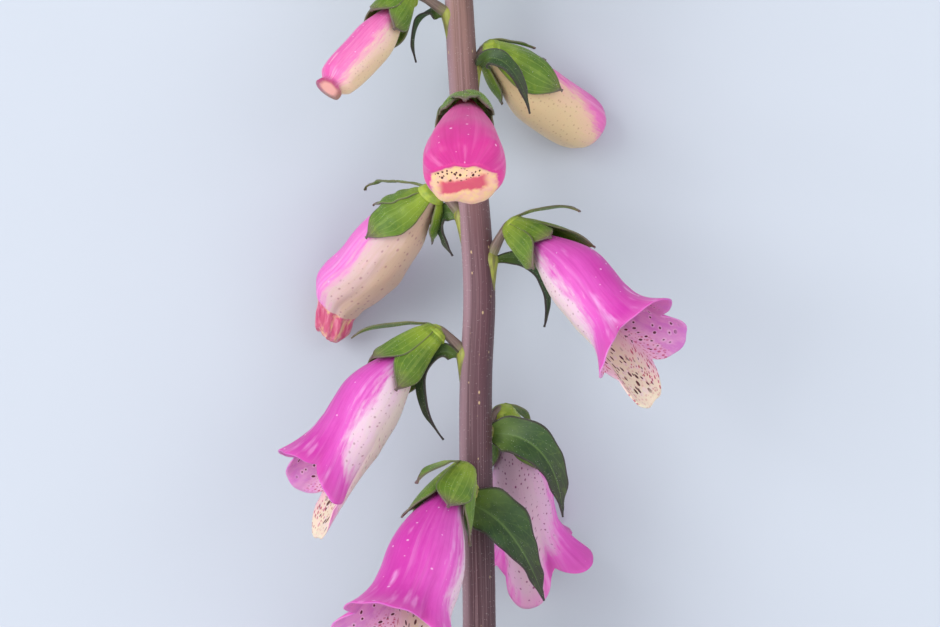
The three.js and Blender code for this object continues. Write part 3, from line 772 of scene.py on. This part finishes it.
def openBell(flower, seed):
    place = bellFrame(flower)

    def point(u, v):
        angle = 360 * u
        turned = angle + flower["twist"] * smooth(bell["twistFrom"], 1.0, v)
        ring = ringAt(angle, seed)
        rim = bellRim(angle) + bell["frayed"] * noise.noise(ring * 3.1)
        if v > bell["floorShare"]:
            length = mix(bell["floor"], rim, share(bell["floorShare"], 1, v))
        else:
            length = v / bell["floorShare"] * bell["floor"]
        radius = bellRadius(angle, min(length, bellRim(angle)), flower["swell"], flower["flare"])
        radius += grooved(angle, v)
        waves = bell["waves"] * smooth(bell["wavesFrom"], 1.0, v)
        radius += waves * (noise.noise(ring * 1.7) + 0.35 * noise.noise(ring * 4.3))
        radius += mix(*bell["uneven"], v) * noise.noise(ring * 1.4 + Vector((0, 0, v * 2.5)))
        radius *= smooth(*patterns["hidden"], v) ** 0.5
        return place(turned, radius * flower["slim"], length, bellShift(length))

    piece = rolled("petals_" + flower["name"], bell["around"], bell["along"], point, flower["look"], "inside")
    thicken(piece, bell["wall"], -1, inside=1)
    return finish(piece, "petals", "corolla_" + flower["name"])


def overHood(x, y):  # above the edge of the upper lip when this is more than nothing
    return y + opening["hoodSides"] * x * x - opening["hoodTo"]


def openingBell(flower, seed):  # its lips are still folded over the mouth
    place = bellFrame(flower)
    mouth = flower["mouth"]

    def inMouth(u, v):  # across and up in the mouth, and how far inside its edge
        length, radius, _ = curve(flower["profile"], v)
        out = max(0.0, radius) / mouth["radius"]
        inside = smooth(mouth["from"], mouth["from"] + opening["lipDepth"], length)
        return out * sinOf(360 * u), out * cosOf(360 * u), inside

    def point(u, v):
        angle = 360 * u
        ring = ringAt(angle, seed)
        length, radius, shift = curve(flower["profile"], v)
        x, y, inside = inMouth(u, v)
        radius += opening["uneven"] * noise.noise(ring * 1.6 + ring * v) * min(1.0, radius / 4)
        radius += grooved(angle, share(0, 0.75, v)) * (1 - inside)
        length += inside * opening["hoodHeight"] * smooth(-0.06, 0.06, overHood(x, y))
        fold = noise.noise(Vector((x * 2.1, y * 4.2, seed)))
        length += inside * opening["ridges"] * mouth["lumps"] * fold
        radius *= 1 + inside * 0.1 * mouth["lumps"] * noise.noise(ring * 2.3)
        radius *= 1 + mouth["boxy"] * sinOf(2 * angle) ** 2 * smooth(18, 32, length)
        return place(angle, max(0.0, radius) * flower["slim"], length, shift)

    piece = rolled("petals_" + flower["name"], bell["around"], opening["along"], point, flower["look"],
                   mouth["skin"])
    places = piece.data.uv_layers["UVMap"].data
    marks = piece.data.uv_layers.new(name="Mouth").data
    for face in piece.data.polygons:
        under = []
        for loop in face.loop_indices:
            x, y, _ = inMouth(*places[loop].uv)
            marks[loop].uv = (x, y)
            hooded = mouth["skin"] == "fold" and overHood(x, y) > 0.12
            under.append(not hooded and x * x + y * y < mouth["painted"] ** 2)
        nearest = min(curve(flower["profile"], places[loop].uv.y)[0] for loop in face.loop_indices)
        if all(under) and nearest > mouth["from"]:
            face.material_index = 1
    return finish(piece, "petals", "corolla_" + flower["name"])


def shutBell(flower, seed):
    place = bellFrame(flower)

    def point(u, v):
        angle = 360 * u
        ring = ringAt(angle, seed)
        length = bud["length"] * v
        radius = budRadius(length, flower["taper"]) * flower["slim"]
        seam = bud["seamDepth"] * ridges(angle, bud["seams"], bud["seamWidth"])
        radius -= seam * smooth(0.5, 0.9, v) * (1 - v) ** 0.3
        radius += bud["uneven"] * noise.noise(ring * 1.5 + Vector((0, 0, v * 2))) * math.sin(math.pi * v)
        if flower["flared"] and v > bud["flareFrom"]:
            width = bud["flareWidth"] * (1 + bud["flareUneven"] * noise.noise(ring * 1.3))
            shoulder = budRadius(bud["length"] * bud["flareFrom"], flower["taper"]) * flower["slim"]
            rows = [(bud["flareFrom"], shoulder), (bud["waistAt"], bud["waist"]), (bud["flareAt"], width)]
            inwards = share(bud["flareAt"], 1, v)
            radius = steps(rows, v) * (1 - inwards)
            length -= bud["flareDeep"] * inwards
        radius = max(0.0, radius) * smooth(*patterns["hidden"], v) ** 0.5
        return place(angle, radius, length, budShift(length) * flower["slim"])

    piece = rolled("petals_" + flower["name"], bud["around"], bud["along"], point, flower["look"])
    return finish(piece, "bud_petals", "corolla_" + flower["name"])


stamen = {
    "filaments": ((30, 35), (-30, 35), (58, 30), (-58, 30)),  # angle and reach
    "styleReach": 38,
    "thickness": 0.42,
    "inside": 2.9,  # from the outer wall
    "start": 10.8,
    "bend": 18,
    "anther": (0.9, 1.5, 1.0),
    "apart": 0.72,  # the two sacs of an anther, from its middle
    "ovary": (1.5, 1.5, 2.9),
    "ovaryAt": 11.0,
}


def makeStamens(flower):
    place = bellFrame(flower)
    parts = []

    def onWall(angle, length):
        return place(angle, tubeRadius(length) - stamen["inside"], length, bellShift(length))

    axis = (place(0, 0, 1) - place(0, 0, 0)).normalized()
    upper = (place(0, 1, 0) - place(0, 0, 0)).normalized()
    across = axis.cross(upper)
    centre = place(0, 0, stamen["ovaryAt"], bellShift(stamen["ovaryAt"]))
    parts.append(egg("ovary", "cushion", centre, (upper, across, axis), stamen["ovary"]))
    foot = place(0, 0, stamen["start"], bellShift(stamen["start"]))
    for angle, reach in [*stamen["filaments"], (0, stamen["styleReach"])]:
        bend, end = onWall(angle, stamen["bend"]), onWall(angle, reach)
        radii = [(0, 1.0), (1, stamen["thickness"])]
        parts.append(tube("filament", "filament", (foot, mix(foot, bend, 0.6), bend, end), radii, 8, 20))
        for half in (-1, 1) if angle else ():  # the style, at 0, has no anther
            middle = end + across * half * stamen["apart"]
            parts.append(egg("anther", "anther", middle, (across, upper, axis), stamen["anther"], 12, 8))
    return finish(joinAll("threads_" + flower["name"], parts), "stamens", "stamens_" + flower["name"])


sepalPlan = {
    "across": 14,
    "along": 30,
    "wall": 0.42,
    "rootLength": -1.4,
    "rootRadius": 2.3,
    "gap": 0.35,
    "widths": [(0.34,), (0.62,), (0.86,), (0.99,), (0.98,), (0.84,), (0.6,), (0.32,), (0.0,)],
    "widest": 50,  # to each side of its middle
    "puff": 1.6,  # how far it stands off between its foot and its tip
    "cupped": 0.4,
    "curl": 0.35,  # of its edges, outwards
    "uneven": 0.3,
    "leaves": [
        {"angle": 0, "length": 12.5, "halfWidth": 0.75, "lift": 6.4, "layer": 0.9},
        {"angle": 40, "length": 16, "halfWidth": 5.3, "lift": 0.5, "layer": 0.0},
        {"angle": -43, "length": 16.5, "halfWidth": 5.4, "lift": 0.7, "layer": 0.45},
        {"angle": 112, "length": 16.5, "halfWidth": 5.4, "lift": 0.8, "layer": 0.45},
        {"angle": -117, "length": 17, "halfWidth": 5.4, "lift": 0.6, "layer": 0.0},
    ],
}
stalkPlan = {"radii": [(0, 1.45), (0.5, 1.05), (1, 1.2075)], "bendOut": 0.75, "bendRise": 1.5, "rooted": 0.7,
             "end": -1.6}
cushionPlan = {"radius": 2.1, "above": 2.6, "below": 11.0, "sunk": 0.9, "narrowing": 0.72, "proud": 0.8}
cupRows = [(0, 0.0), (0.18, 1.3), (0.5, 2.9), (0.8, 3.4), (0.93, 2.6), (1, 0.0)]
cupEnds = (-3.0, 0.6)
bractPlan = {
    "across": 14,
    "along": 40,
    "wall": 0.42,
    "widths": [(0, 0.42), (0.2, 0.9), (0.42, 1.0), (0.6, 0.86), (0.8, 0.5), (0.95, 0.12), (1, 0.02)],
    "fold": 0.38,
    "wave": 0.05,  # of its edges, as a share of its width
    "twist": 0.12,
    "thinnest": 0.12,
    "dip": 0.03,  # between its veins, as a share of half its width
}


def sepal(flower, leaf, seed, radiusAt, shiftAt):
    place = bellFrame(flower)
    size = flower["size"]
    isNarrow = leaf["angle"] == 0
    ownLength = leaf["length"] * flower["sepals"].get(leaf["angle"], 1)
    ownWidth = flower.get("topSepal", leaf["halfWidth"]) if isNarrow else leaf["halfWidth"]
    turn = leaf["angle"] + (0 if isNarrow else flower["calyxTurn"])

    def point(u, v):
        s = 2 * u - 1
        v = math.sin(math.pi / 2 * v)  # closer rows towards the tip
        reach = mix(sepalPlan["rootLength"], ownLength, v)
        clear = radiusAt(max(0.0, reach)) + (sepalPlan["gap"] + leaf["layer"]) / size
        clear = mix(sepalPlan["rootRadius"], clear, smooth(-0.05, 0.25, v))
        half = math.degrees(max(0.001, curve(sepalPlan["widths"], v)[0]) * ownWidth / clear)
        half = (half**-4 + sepalPlan["widest"] ** -4) ** -0.25
        lift = leaf["lift"] * (math.sin(1.9 * v) * flower["arch"] if isNarrow else v * v)
        puff = 0 if isNarrow else sepalPlan["puff"] * math.sin(math.pi * min(1.0, v * 1.1)) ** 1.1
        puff *= 1 - sepalPlan["cupped"] * s * s
        radius = clear + lift + puff + sepalPlan["curl"] * abs(s) ** 3 * smooth(0.2, 0.8, v)
        radius += sepalPlan["uneven"] * noise.noise(Vector((s * 1.2, v * 2.2, seed + leaf["angle"]))) * v
        return place(turn + s * half, radius, reach, shiftAt(max(0.0, reach)))

    piece = rolled("sepal", sepalPlan["across"], sepalPlan["along"], point, "sepalGreen")
    thicken(piece, sepalPlan["wall"], 1)
    return piece


def leafBlade(name, skin, foot, shape, seed, across=bractPlan["across"], along=bractPlan["along"]):
    path = [Vector(point) + foot for point in shape["path"]]
    facing = towards(shape["face"])
    widths = shape.get("widths", bractPlan["widths"])

    def point(u, v):
        s = 2 * u - 1
        centre, way = onPath(path, v)
        side = way.cross(facing).normalized()
        up = side.cross(way).normalized()
        half = max(bractPlan["thinnest"], steps(widths, v) * shape["width"] / 2)
        turn = bractPlan["twist"] * math.sin(math.pi * v) * (1 if seed % 2 else -1)
        wave = math.sin(5.5 * math.pi * v + seed + (2 if s > 0 else 0)) * s * s * smooth(0, 0.2, v)
        dip = bractPlan["dip"] * math.cos(7 * math.pi * abs(s))
        rise = half * (bractPlan["fold"] * abs(s) ** 1.4 + s * turn - dip)
        rise += bractPlan["wave"] * shape["width"] * wave
        return centre + side * half * s * math.cos(turn) + up * rise

    piece = sheet(name, across, along, point, skin)
    thicken(piece, bractPlan["wall"], 0)
    return piece


def cushion(foot, azimuth, thick):  # where bract and stalk meet the stem, running down it as a ridge
    out, up = towards(azimuth), Vector((0, 1, 0))
    across = out.cross(up)
    bpy.ops.mesh.primitive_uv_sphere_add(segments=18, ring_count=18, radius=1)
    piece = bpy.context.object
    for vertex in piece.data.vertices:
        local = out * vertex.co.x + across * vertex.co.y + up * vertex.co.z
        local.z = max(0.0, local.z)  # flat underneath
        x, y, z = local.dot(out), local.dot(across), local.dot(up)
        length = cushionPlan["above"] if z > 0 else cushionPlan["below"]
        width = cushionPlan["radius"] * thick * (1 - cushionPlan["narrowing"] * share(0, -1, z) ** 0.7)
        centre, radius = stemAt(foot.y + z * length * thick)
        lift = radius - cushionPlan["sunk"] + (x + 0.25) * width * cushionPlan["proud"]
        vertex.co = placed(centre + out * lift + across * y * width)
    wear(piece, "cushion")
    return piece


def axilParts(flower, stalkEnd, seed, skin):
    centre, radius = stemAt(flower["y"])
    out = towards(flower["side"])
    thick = math.sqrt(flower["size"])
    foot = centre + out * radius
    bend = centre + out * flower["out"] * stalkPlan["bendOut"]
    bend.y += flower["rise"] + stalkPlan["bendRise"] * flower["size"]
    inside = centre + out * radius * stalkPlan["rooted"]
    path = (inside, mix(inside, bend, 2 / 3), mix(stalkEnd, bend, 2 / 3), stalkEnd)
    radii = [(at, radius * thick) for at, radius in stalkPlan["radii"]]
    return [tube("stalk", "stalk", path, radii, 16, 24), cushion(foot, flower["side"], thick),
            leafBlade("bract", skin, foot, flower["bract"], seed)]


def calyxCup(flower):
    place = bellFrame(flower)
    return rolled("cup", 20, 14, lambda u, v: place(360 * u, steps(cupRows, v), mix(*cupEnds, v)), "cup")


def makeGreens(flower, seed):
    isBud = flower["kind"] == "bud"
    slim = flower["slim"]

    def radiusAt(length):
        if "profile" in flower:
            return steps([row[:2] for row in flower["profile"]], length) * slim
        bare = budRadius(length, bud["taperPower"]) if isBud else tubeRadius(length, flower["swell"])
        return bare * slim

    def shiftAt(length):
        if "profile" in flower:
            return steps([(row[0], row[2]) for row in flower["profile"]], length)
        return budShift(length) * slim if isBud else bellShift(length)

    stalkEnd = bellFrame(flower)(0, 0, stalkPlan["end"])
    parts = axilParts(flower, stalkEnd, seed, "bractGreen")
    parts.append(calyxCup(flower))
    parts += [sepal(flower, leaf, seed, radiusAt, shiftAt) for leaf in sepalPlan["leaves"]]
    return finish(joinAll("greens_" + flower["name"], parts), "greens", "calyx_" + flower["name"])


upperBuds = {
    "first": {"y": 84, "length": 27, "out": 10, "rise": 3.5, "droop": 18, "reach": 13, "width": 4.4},
    "last": {"y": 146, "length": 8.5, "out": 5, "rise": 2.6, "droop": -42, "reach": 6.5, "width": 3},
    "count": 9,
    "showing": 4,
    "firstSide": 43,
    "slim": 0.95,
    "bractPath": ((0, 0), (0.5, -2), (0.9, -3)),  # outwards as a share of its reach, and upwards
    "bractTip": (-11, 2),
}
shutCalyx = {
    "rows": [(0, 0.07), (0.14, 0.22), (0.42, 0.29), (0.74, 0.2), (1, 0.02)],
    "folds": 5,
    "foldDepth": 0.14,
}


def upperFlowers():
    first, last = upperBuds["first"], upperBuds["last"]
    made = []
    for k in range(upperBuds["count"]):
        t = k / (upperBuds["count"] - 1)
        at = {key: mix(first[key], last[key], t) for key in first}
        side = upperBuds["firstSide"] + goldenAngle * k
        way = towards(side)
        path = [way * at["reach"] * out + Vector((0, rise, 0)) for out, rise in upperBuds["bractPath"]]
        path.append(way * at["reach"] + Vector((0, mix(*upperBuds["bractTip"], t), 0)))
        made.append({
            **usual, **at, "name": f"bud_{k + 1:02d}", "kind": "bud" if k < upperBuds["showing"] else "shut",
            "look": "youngBud", "side": side, "turn": side, "size": at["length"] / bud["length"],
            "slim": upperBuds["slim"], "bract": {"path": path, "width": at["width"], "face": side},
        })
    return made


def makeShutBud(flower, seed):  # five sepals that still meet over the petals
    place = bellFrame(flower)

    def point(u, v):
        angle = 360 * u
        radius = steps(shutCalyx["rows"], v) * bud["length"]
        fold = abs(sinOf(shutCalyx["folds"] * angle / 2)) ** 0.5
        radius *= 1 - shutCalyx["foldDepth"] * (1 - fold) * math.sin(math.pi * min(1.0, v * 1.1))
        return place(angle, radius * smooth(-0.01, 0.03, v), v * bud["length"])

    parts = [rolled("shut", 40, 26, point, "budGreen"), *axilParts(flower, place(0, 0, 1), seed, "budGreen")]
    return finish(joinAll("greens_" + flower["name"], parts), "greens", flower["name"])


head = {
    "count": 44,
    "first": {"y": 155, "length": 10.5, "out": 1.6, "lift": 40},
    "last": {"y": 204, "length": 3.0, "out": 0.2, "lift": 78},
    "budWidth": 0.27,
    "bractWidth": 0.4,
    "bractReach": 1.05,
    "bractLower": 26,  # than its bud, in degrees
    "bractPath": ((0, 0), (0.45, 0.2), (0.85, 0.6), (0.9, 1.25)),  # outwards and upwards
    "firstSide": 44.2,
    "core": (150, 168, 187, 206),
    "coreRadii": [(0, 2.1), (0.5, 1.5), (1, 0.6)],
}


def makeHead():
    parts = [tube("core", "cushion", [stemAt(y)[0] for y in head["core"]], head["coreRadii"], 16, 30)]
    first, last = head["first"], head["last"]
    for k in range(head["count"]):
        t = k / (head["count"] - 1)
        at = {key: mix(first[key], last[key], t**0.85) for key in first}
        side = head["firstSide"] + goldenAngle * k
        out = towards(side)
        axis = out * cosOf(at["lift"]) + Vector((0, sinOf(at["lift"]), 0))
        inner = Vector((0, cosOf(at["lift"]), 0)) - out * sinOf(at["lift"])
        across = axis.cross(inner)
        base = stemAt(at["y"])[0] + out * at["out"]
        width = head["budWidth"] * at["length"]
        parts.append(egg("tiny", "budGreen", base + axis * at["length"] * 0.42, (inner, across, axis),
                         (width, width, at["length"] * 0.52), 12, 9))
        foot = base - Vector((0, 0.22 * at["length"], 0))
        reach = head["bractReach"] * at["length"]
        low = at["lift"] - head["bractLower"]
        path = [out * reach * far * cosOf(low) + Vector((0, reach * high * sinOf(low), 0))
                for far, high in head["bractPath"]]
        shape = {"path": path, "width": head["bractWidth"] * at["length"], "face": side + 0.01}
        parts.append(leafBlade("tinyBract", "budGreen", foot, shape, k, 6, 12))
    return finish(joinAll("headOfBuds", parts), "greens", "bud_head")


usual = {  # what holds for a flower that doesn't say otherwise
    "kind": "open", "look": "open", "size": 1, "slim": 1, "roll": 0, "twist": 0, "swell": bell["swell"],
    "flare": 1, "flared": False, "taper": bud["taperPower"], "calyxTurn": 0, "arch": 1, "sepals": {},
}
flowers = [  # those that are out, from the top down
    {
        "name": "01", "kind": "bud", "look": "bud", "flared": True, "taper": 3.8, "calyxTurn": 33,
        "sepals": {-117: 0.76, -43: 0.72, 40: 0.8, 112: 0.8},
        "y": 70, "side": 165, "out": 13, "rise": 4, "turn": 138, "droop": 44, "size": 0.94, "slim": 0.8,
        "bract": {"path": [(0, 0, 0), (-6, 3, -1), (-9, -4, -1), (-7, -11, 0)], "width": 3.6, "face": 180},
    },
    {
        "name": "02", "kind": "bud", "look": "paleBud", "taper": 5.2, "calyxTurn": -25, "arch": 0.3,
        "sepals": {0: 0.85, 112: 1.0, 40: 0.84, -117: 0.66},
        "y": 57.5, "side": -25, "out": 7.2, "rise": 4, "turn": -37, "droop": 28, "size": 1.03, "slim": 1.08,
        "bract": {"path": [(0, 0, 0), (3, 5, 7), (10, 1, 9), (12.5, -11, 7)], "width": 4.6, "face": 60},
    },
    {
        "name": "03", "kind": "opening", "look": "opening", "topSepal": 3.6, "arch": 0.1,
        "sepals": {0: 1.45, 40: 0.88, -43: 0.86, 112: 0.8, -117: 0.8},
        "y": 45, "side": 90, "out": 8.5, "rise": 3.4, "turn": 91, "droop": 31, "size": 0.96, "slim": 1.23,
        "mouth": {"from": 32.4, "radius": 7.7, "painted": 0.96, "lumps": 0.6, "boxy": 0.09, "skin": "fold"},
        "profile": [  # length, radius and shift towards the upper side
            (0, 0, 0), (0.1, 1.4, 0), (2, 2.1, 0), (5.5, 2.8, 0.3), (9, 3.6, 0.6), (12.5, 4.4, 0.8),
            (16, 5.2, 0.9), (19.5, 5.95, 0.8), (23, 6.6, 0.7), (26, 7.15, 0.6), (28.8, 7.5, 0.6),
            (31.4, 7.7, 0.6), (33.6, 7.55, 0.6), (35.4, 7.0, 0.6), (36.8, 6.1, 0.6), (37.7, 4.9, 0.6),
            (38.3, 3.5, 0.6), (38.6, 2.0, 0.6), (38.7, 0.9, 0.6), (38.7, 0, 0.6),
        ],
        "bract": {"path": [(0, 0, 0), (4.5, -2.5, 2), (7, -7, 1.5), (7, -13, 1)], "width": 3.4, "face": 20},
    },
    {
        "name": "04", "kind": "opening", "look": "openingPale", "calyxTurn": 26,
        "sepals": {40: 0.8, -43: 0.72, 112: 0.66, -117: 0.9},
        "y": 22.5, "side": 192, "out": 10.6, "rise": 5, "turn": 221, "droop": 47, "size": 1.03,
        "mouth": {"from": 37.6, "radius": 5.2, "painted": 1.1, "lumps": 2.6, "boxy": 0.0, "skin": "crumple"},
        "profile": [
            (0, 0, 0), (0.1, 1.5, 0), (2, 2.3, 0.3), (5, 3.6, 0.8), (8.5, 5.3, 1.5), (12, 6.7, 2.1),
            (16, 7.4, 2.6), (20, 7.7, 2.9), (24, 7.8, 3.1), (28, 7.7, 3.9), (31.5, 7.6, 5.0),
            (34.5, 7.1, 5.6), (37, 6.1, 5.2), (38.7, 5.0, 4.3), (40.6, 4.5, 3.2), (42.8, 3.9, 2.3),
            (44.5, 2.8, 1.8), (45.4, 1.4, 1.7), (45.6, 0, 1.7),
        ],
        "bract": {"path": [(0, 0, 0), (-5, 4, -3), (-5.5, -3, -4), (-1.5, -9, -3)], "width": 4.6,
                  "face": 160},
    },
    {
        "name": "05", "twist": 14, "sepals": {40: 0.74, -43: 1.06, 112: 0.85},
        "y": 12.3, "side": 18, "out": 9.1, "rise": 7.3, "turn": 38, "droop": 37,
        "bract": {"path": [(0, 0, 0), (9, 3, -4), (15, -4, -9), (12, -15.5, -8)], "width": 3.4, "face": 60},
    },
    {
        "name": "06", "flare": 0.62, "roll": 20, "twist": -26, "sepals": {-43: 0.88},
        "y": -9.7, "side": 170, "out": 10.5, "rise": 4.7, "turn": 160, "droop": 49, "slim": 1.03,
        "bract": {"path": [(0, 0, 0), (-8, 4, 2), (-13, -8, 3), (-4, -19.5, 3)], "width": 4.6, "face": 150},
    },
    {
        "name": "07", "swell": (2, 27), "sepals": {40: 1.1, -43: 0.84, -117: 1.05},
        "y": -41, "side": 110, "out": 9, "rise": 4.5, "turn": 123, "droop": 53, "slim": 1.24,
        "bract": {"path": [(0, -3, 0), (7, -5, 3), (12.5, -12.5, 4), (17, -25, 3)], "width": 11.6, "face": 55,
                  "widths": [(0, 0.6), (0.22, 1.0), (0.38, 0.98), (0.62, 0.68), (0.82, 0.32), (0.95, 0.1),
                             (1, 0.02)]},
    },
    {
        "name": "08", "look": "shaded", "flare": 1.3,
        "y": -27, "side": -35, "out": 8, "rise": 3.5, "turn": -66, "droop": 60, "size": 0.9,
        "bract": {"path": [(0, -1, 0), (8.5, 0, 5), (16, -5, 6), (17, -20, 5)], "width": 9.6, "face": 65},
    },
    {
        "name": "09", "y": -80, "side": 191, "out": 10.3, "rise": 3, "turn": 208, "droop": 52, "size": 0.98,
        "bract": {"path": [(0, 0, 0), (-8, 2, 2), (-13, -7, 4), (-13, -18, 2)], "width": 8.5, "face": 130},
    },
    {
        "name": "10", "y": -91, "side": -15, "out": 10, "rise": 3, "turn": -18, "droop": 46,
        "bract": {"path": [(0, 0, 0), (8, 2, 4), (15, -6, 6), (15, -18, 4)], "width": 9, "face": 60},
    },
    {
        "name": "11", "y": -104, "side": 100, "out": 9, "rise": 3, "turn": 118, "droop": 50,
        "bract": {"path": [(0, 0, 0), (6, -2, 3), (8, -12, 4), (8, -24, 2)], "width": 9.5, "face": 60},
    },
]
stemLeaves = {
    "leaf_1": {
        "y": -136, "side": 20, "width": 12, "face": 75,
        "path": [(0, 0, 0), (11, 7, 2), (22, 2, 5), (27, -14, 3)],
    },
    "leaf_2": {
        "y": -158, "side": 165, "width": 14, "face": 105,
        "path": [(0, 0, 0), (-12, 8, 5), (-25, 4, 6), (-33, -14, 1)],
    },
}


hair = {
    "radius": 0.024,
    "sides": 3,
    "lean": 0.45,
    "uneven": (0.6, 1.2),
    "onStem": (5200, 0.4),  # how many and how long
    "onGreens": (800, 0.3),
}


def plantHairs(name, slot, bearer, keep, count, length, seed):  # tiny spikes on the faces that keep() picks
    rng = random.Random(seed)
    faces = [face for face in bearer.data.polygons if keep(face)]
    weights = [face.area for face in faces]
    points, corners = [], []
    for face in rng.choices(faces, weights=weights, k=count):
        pull = [rng.random() + 0.05 for _ in face.vertices]
        corner = [bearer.data.vertices[i].co * w for i, w in zip(face.vertices, pull)]
        middle = sum(corner, Vector()) / sum(pull)
        lean = Vector([rng.uniform(-1, 1) for _ in range(3)]) * hair["lean"]
        way = (face.normal + lean).normalized()
        tip = middle + way * length * mm * rng.uniform(*hair["uneven"])
        tip.z = max(tip.z, 0.0)
        side = way.orthogonal().normalized() * hair["radius"] * mm
        start = len(points)
        for k in range(hair["sides"]):
            points.append(middle + Matrix.Rotation(2 * math.pi * k / hair["sides"], 3, way) @ side)
        points.append(tip)
        corners += [[start + k for k in corner] for corner in ((0, 1, 3), (1, 2, 3), (2, 0, 3), (0, 2, 1))]
    mesh = bpy.data.meshes.new(name)
    mesh.from_pydata(points, [], corners)
    piece = bpy.data.objects.new(name, mesh)
    bpy.context.scene.collection.objects.link(piece)
    wear(piece, "hair")
    return finish(piece, slot)


skins.update({
    "inside": petalInside("petalInside", insideLook),
    "fold": foldSkin(),
    "crumple": crumpleSkin(),
    "stem": stemSkin(),
    "cut": plainSkin("cutSkin", (222, 226, 182), (184, 198, 132), 0.6, 1400.0, darkFrom=0.4, bump=(0.5, 0.3),
                     subsurface=0.3, radius=(0.8, 1.0, 0.5), scale=1.0),
    "stalk": stalkSkin(),
    "cushion": plainSkin("cushionSkin", (150, 154, 62), (116, 112, 66), 0.5, 1100.0, stretch=(1.0, 0.25, 1.0),
                         bump=(0.4, 0.25), subsurface=0.25, radius=(0.8, 1.0, 0.3), scale=0.8),
    "cup": plainSkin("cupSkin", (160, 176, 60), (126, 148, 46), 0.5, 500.0),
    "filament": plainSkin("filamentSkin", (246, 236, 226), (232, 206, 216), 0.45),
    "anther": plainSkin("antherSkin", (240, 214, 112), (206, 166, 84), 0.7),
    "hair": plainSkin("hairSkin", (232, 228, 222), (206, 200, 196), 0.5),
    **{name: petalOutside(name + "Petal", look) for name, look in petalLooks.items()},
    **{name + "Green": greenSkin(name + "Green", look) for name, look in greenLooks.items()},
})
print("skins mixed:", len(skins))


plantHairs("stemHairs", "stem", makeStem(), lambda face: True, *hair["onStem"], 3)
print("stem grown")

for seed, flower in enumerate([*({**usual, **flower} for flower in flowers), *upperFlowers()]):
    if flower["kind"] == "shut":
        makeShutBud(flower, seed)
        continue
    greens = makeGreens(flower, seed)
    downy = {greens.data.materials.find(name) for name in ("sepalGreen", "bractGreen")}
    plantHairs("down_" + flower["name"], "greens", greens, lambda face: face.material_index in downy,
               *hair["onGreens"], seed)
    if flower["kind"] == "open":
        openBell(flower, seed)
        makeStamens(flower)
    elif flower["kind"] == "opening":
        openingBell(flower, seed)
    else:
        shutBell(flower, seed)
    print("flower", flower["name"], "grown")

makeHead()
for seed, (name, leaf) in enumerate(stemLeaves.items()):
    centre, radius = stemAt(leaf["y"])
    foot = centre + towards(leaf["side"]) * radius * stalkPlan["rooted"]
    blade = leafBlade(name + "_blade", "bractGreen", foot, leaf, seed, 24, 70)
    finish(blade, "greens", name)
print("head and leaves grown")


studio = {
    "floorSize": 8.0,
    "floorColour": (0.484, 0.522, 0.578, 1),  # as light, like all colours of four numbers
    "floorShade": (0.47674, 0.51417, 0.56933, 1),
    "worldColour": (0.93, 0.95, 1.0, 1),
    "worldStrength": 0.98,
    "lights": [  # place in metres, size and power; each aims at the plant
        {"name": "window", "at": (-1.9, 0.6, 1.75), "size": 1.7, "power": 46},
        {"name": "fill", "at": (1.6, 0.4, 2.0), "size": 1.8, "power": 14},
        {"name": "foot", "at": (0.2, -2.0, 1.8), "size": 1.6, "power": 12},
    ],
    "cameraHeight": 638.0,
    "lens": 100,
    "sensor": 36,
}


def makeFloor():
    bpy.ops.mesh.primitive_plane_add(size=studio["floorSize"], location=(0, 0, 0))
    floor = bpy.context.object
    floor.name = "floor"
    skin = Skin("floorPaper", roughness=0.9, specular=0.1)
    grain = skin.noise(skin.object(), 40.0, 2.0)
    skin.colour = skin.blend(grain, studio["floorColour"], studio["floorShade"])
    floor.data.materials.append(skin.done())


def makeLights():
    world = bpy.data.worlds.new("world")
    world.use_nodes = True
    world.node_tree.nodes["Background"].inputs["Color"].default_value = studio["worldColour"]
    world.node_tree.nodes["Background"].inputs["Strength"].default_value = studio["worldStrength"]
    bpy.context.scene.world = world
    for plan in studio["lights"]:
        bpy.ops.object.light_add(type="AREA", location=plan["at"])
        lamp = bpy.context.object
        lamp.name = plan["name"]
        lamp.data.size = plan["size"]
        lamp.data.energy = plan["power"]
        lamp.rotation_euler = (-Vector(plan["at"])).to_track_quat("-Z", "Y").to_euler()


makeFloor()
makeLights()
above = plantOrigin + Vector((0, 0, studio["cameraHeight"]))
bpy.ops.object.camera_add(location=above * mm, rotation=(0, 0, 0))
camera = bpy.context.object
camera.data.lens = studio["lens"]
camera.data.sensor_width = studio["sensor"]
bpy.context.scene.camera = camera
bpy.context.scene.view_settings.view_transform = "Standard"
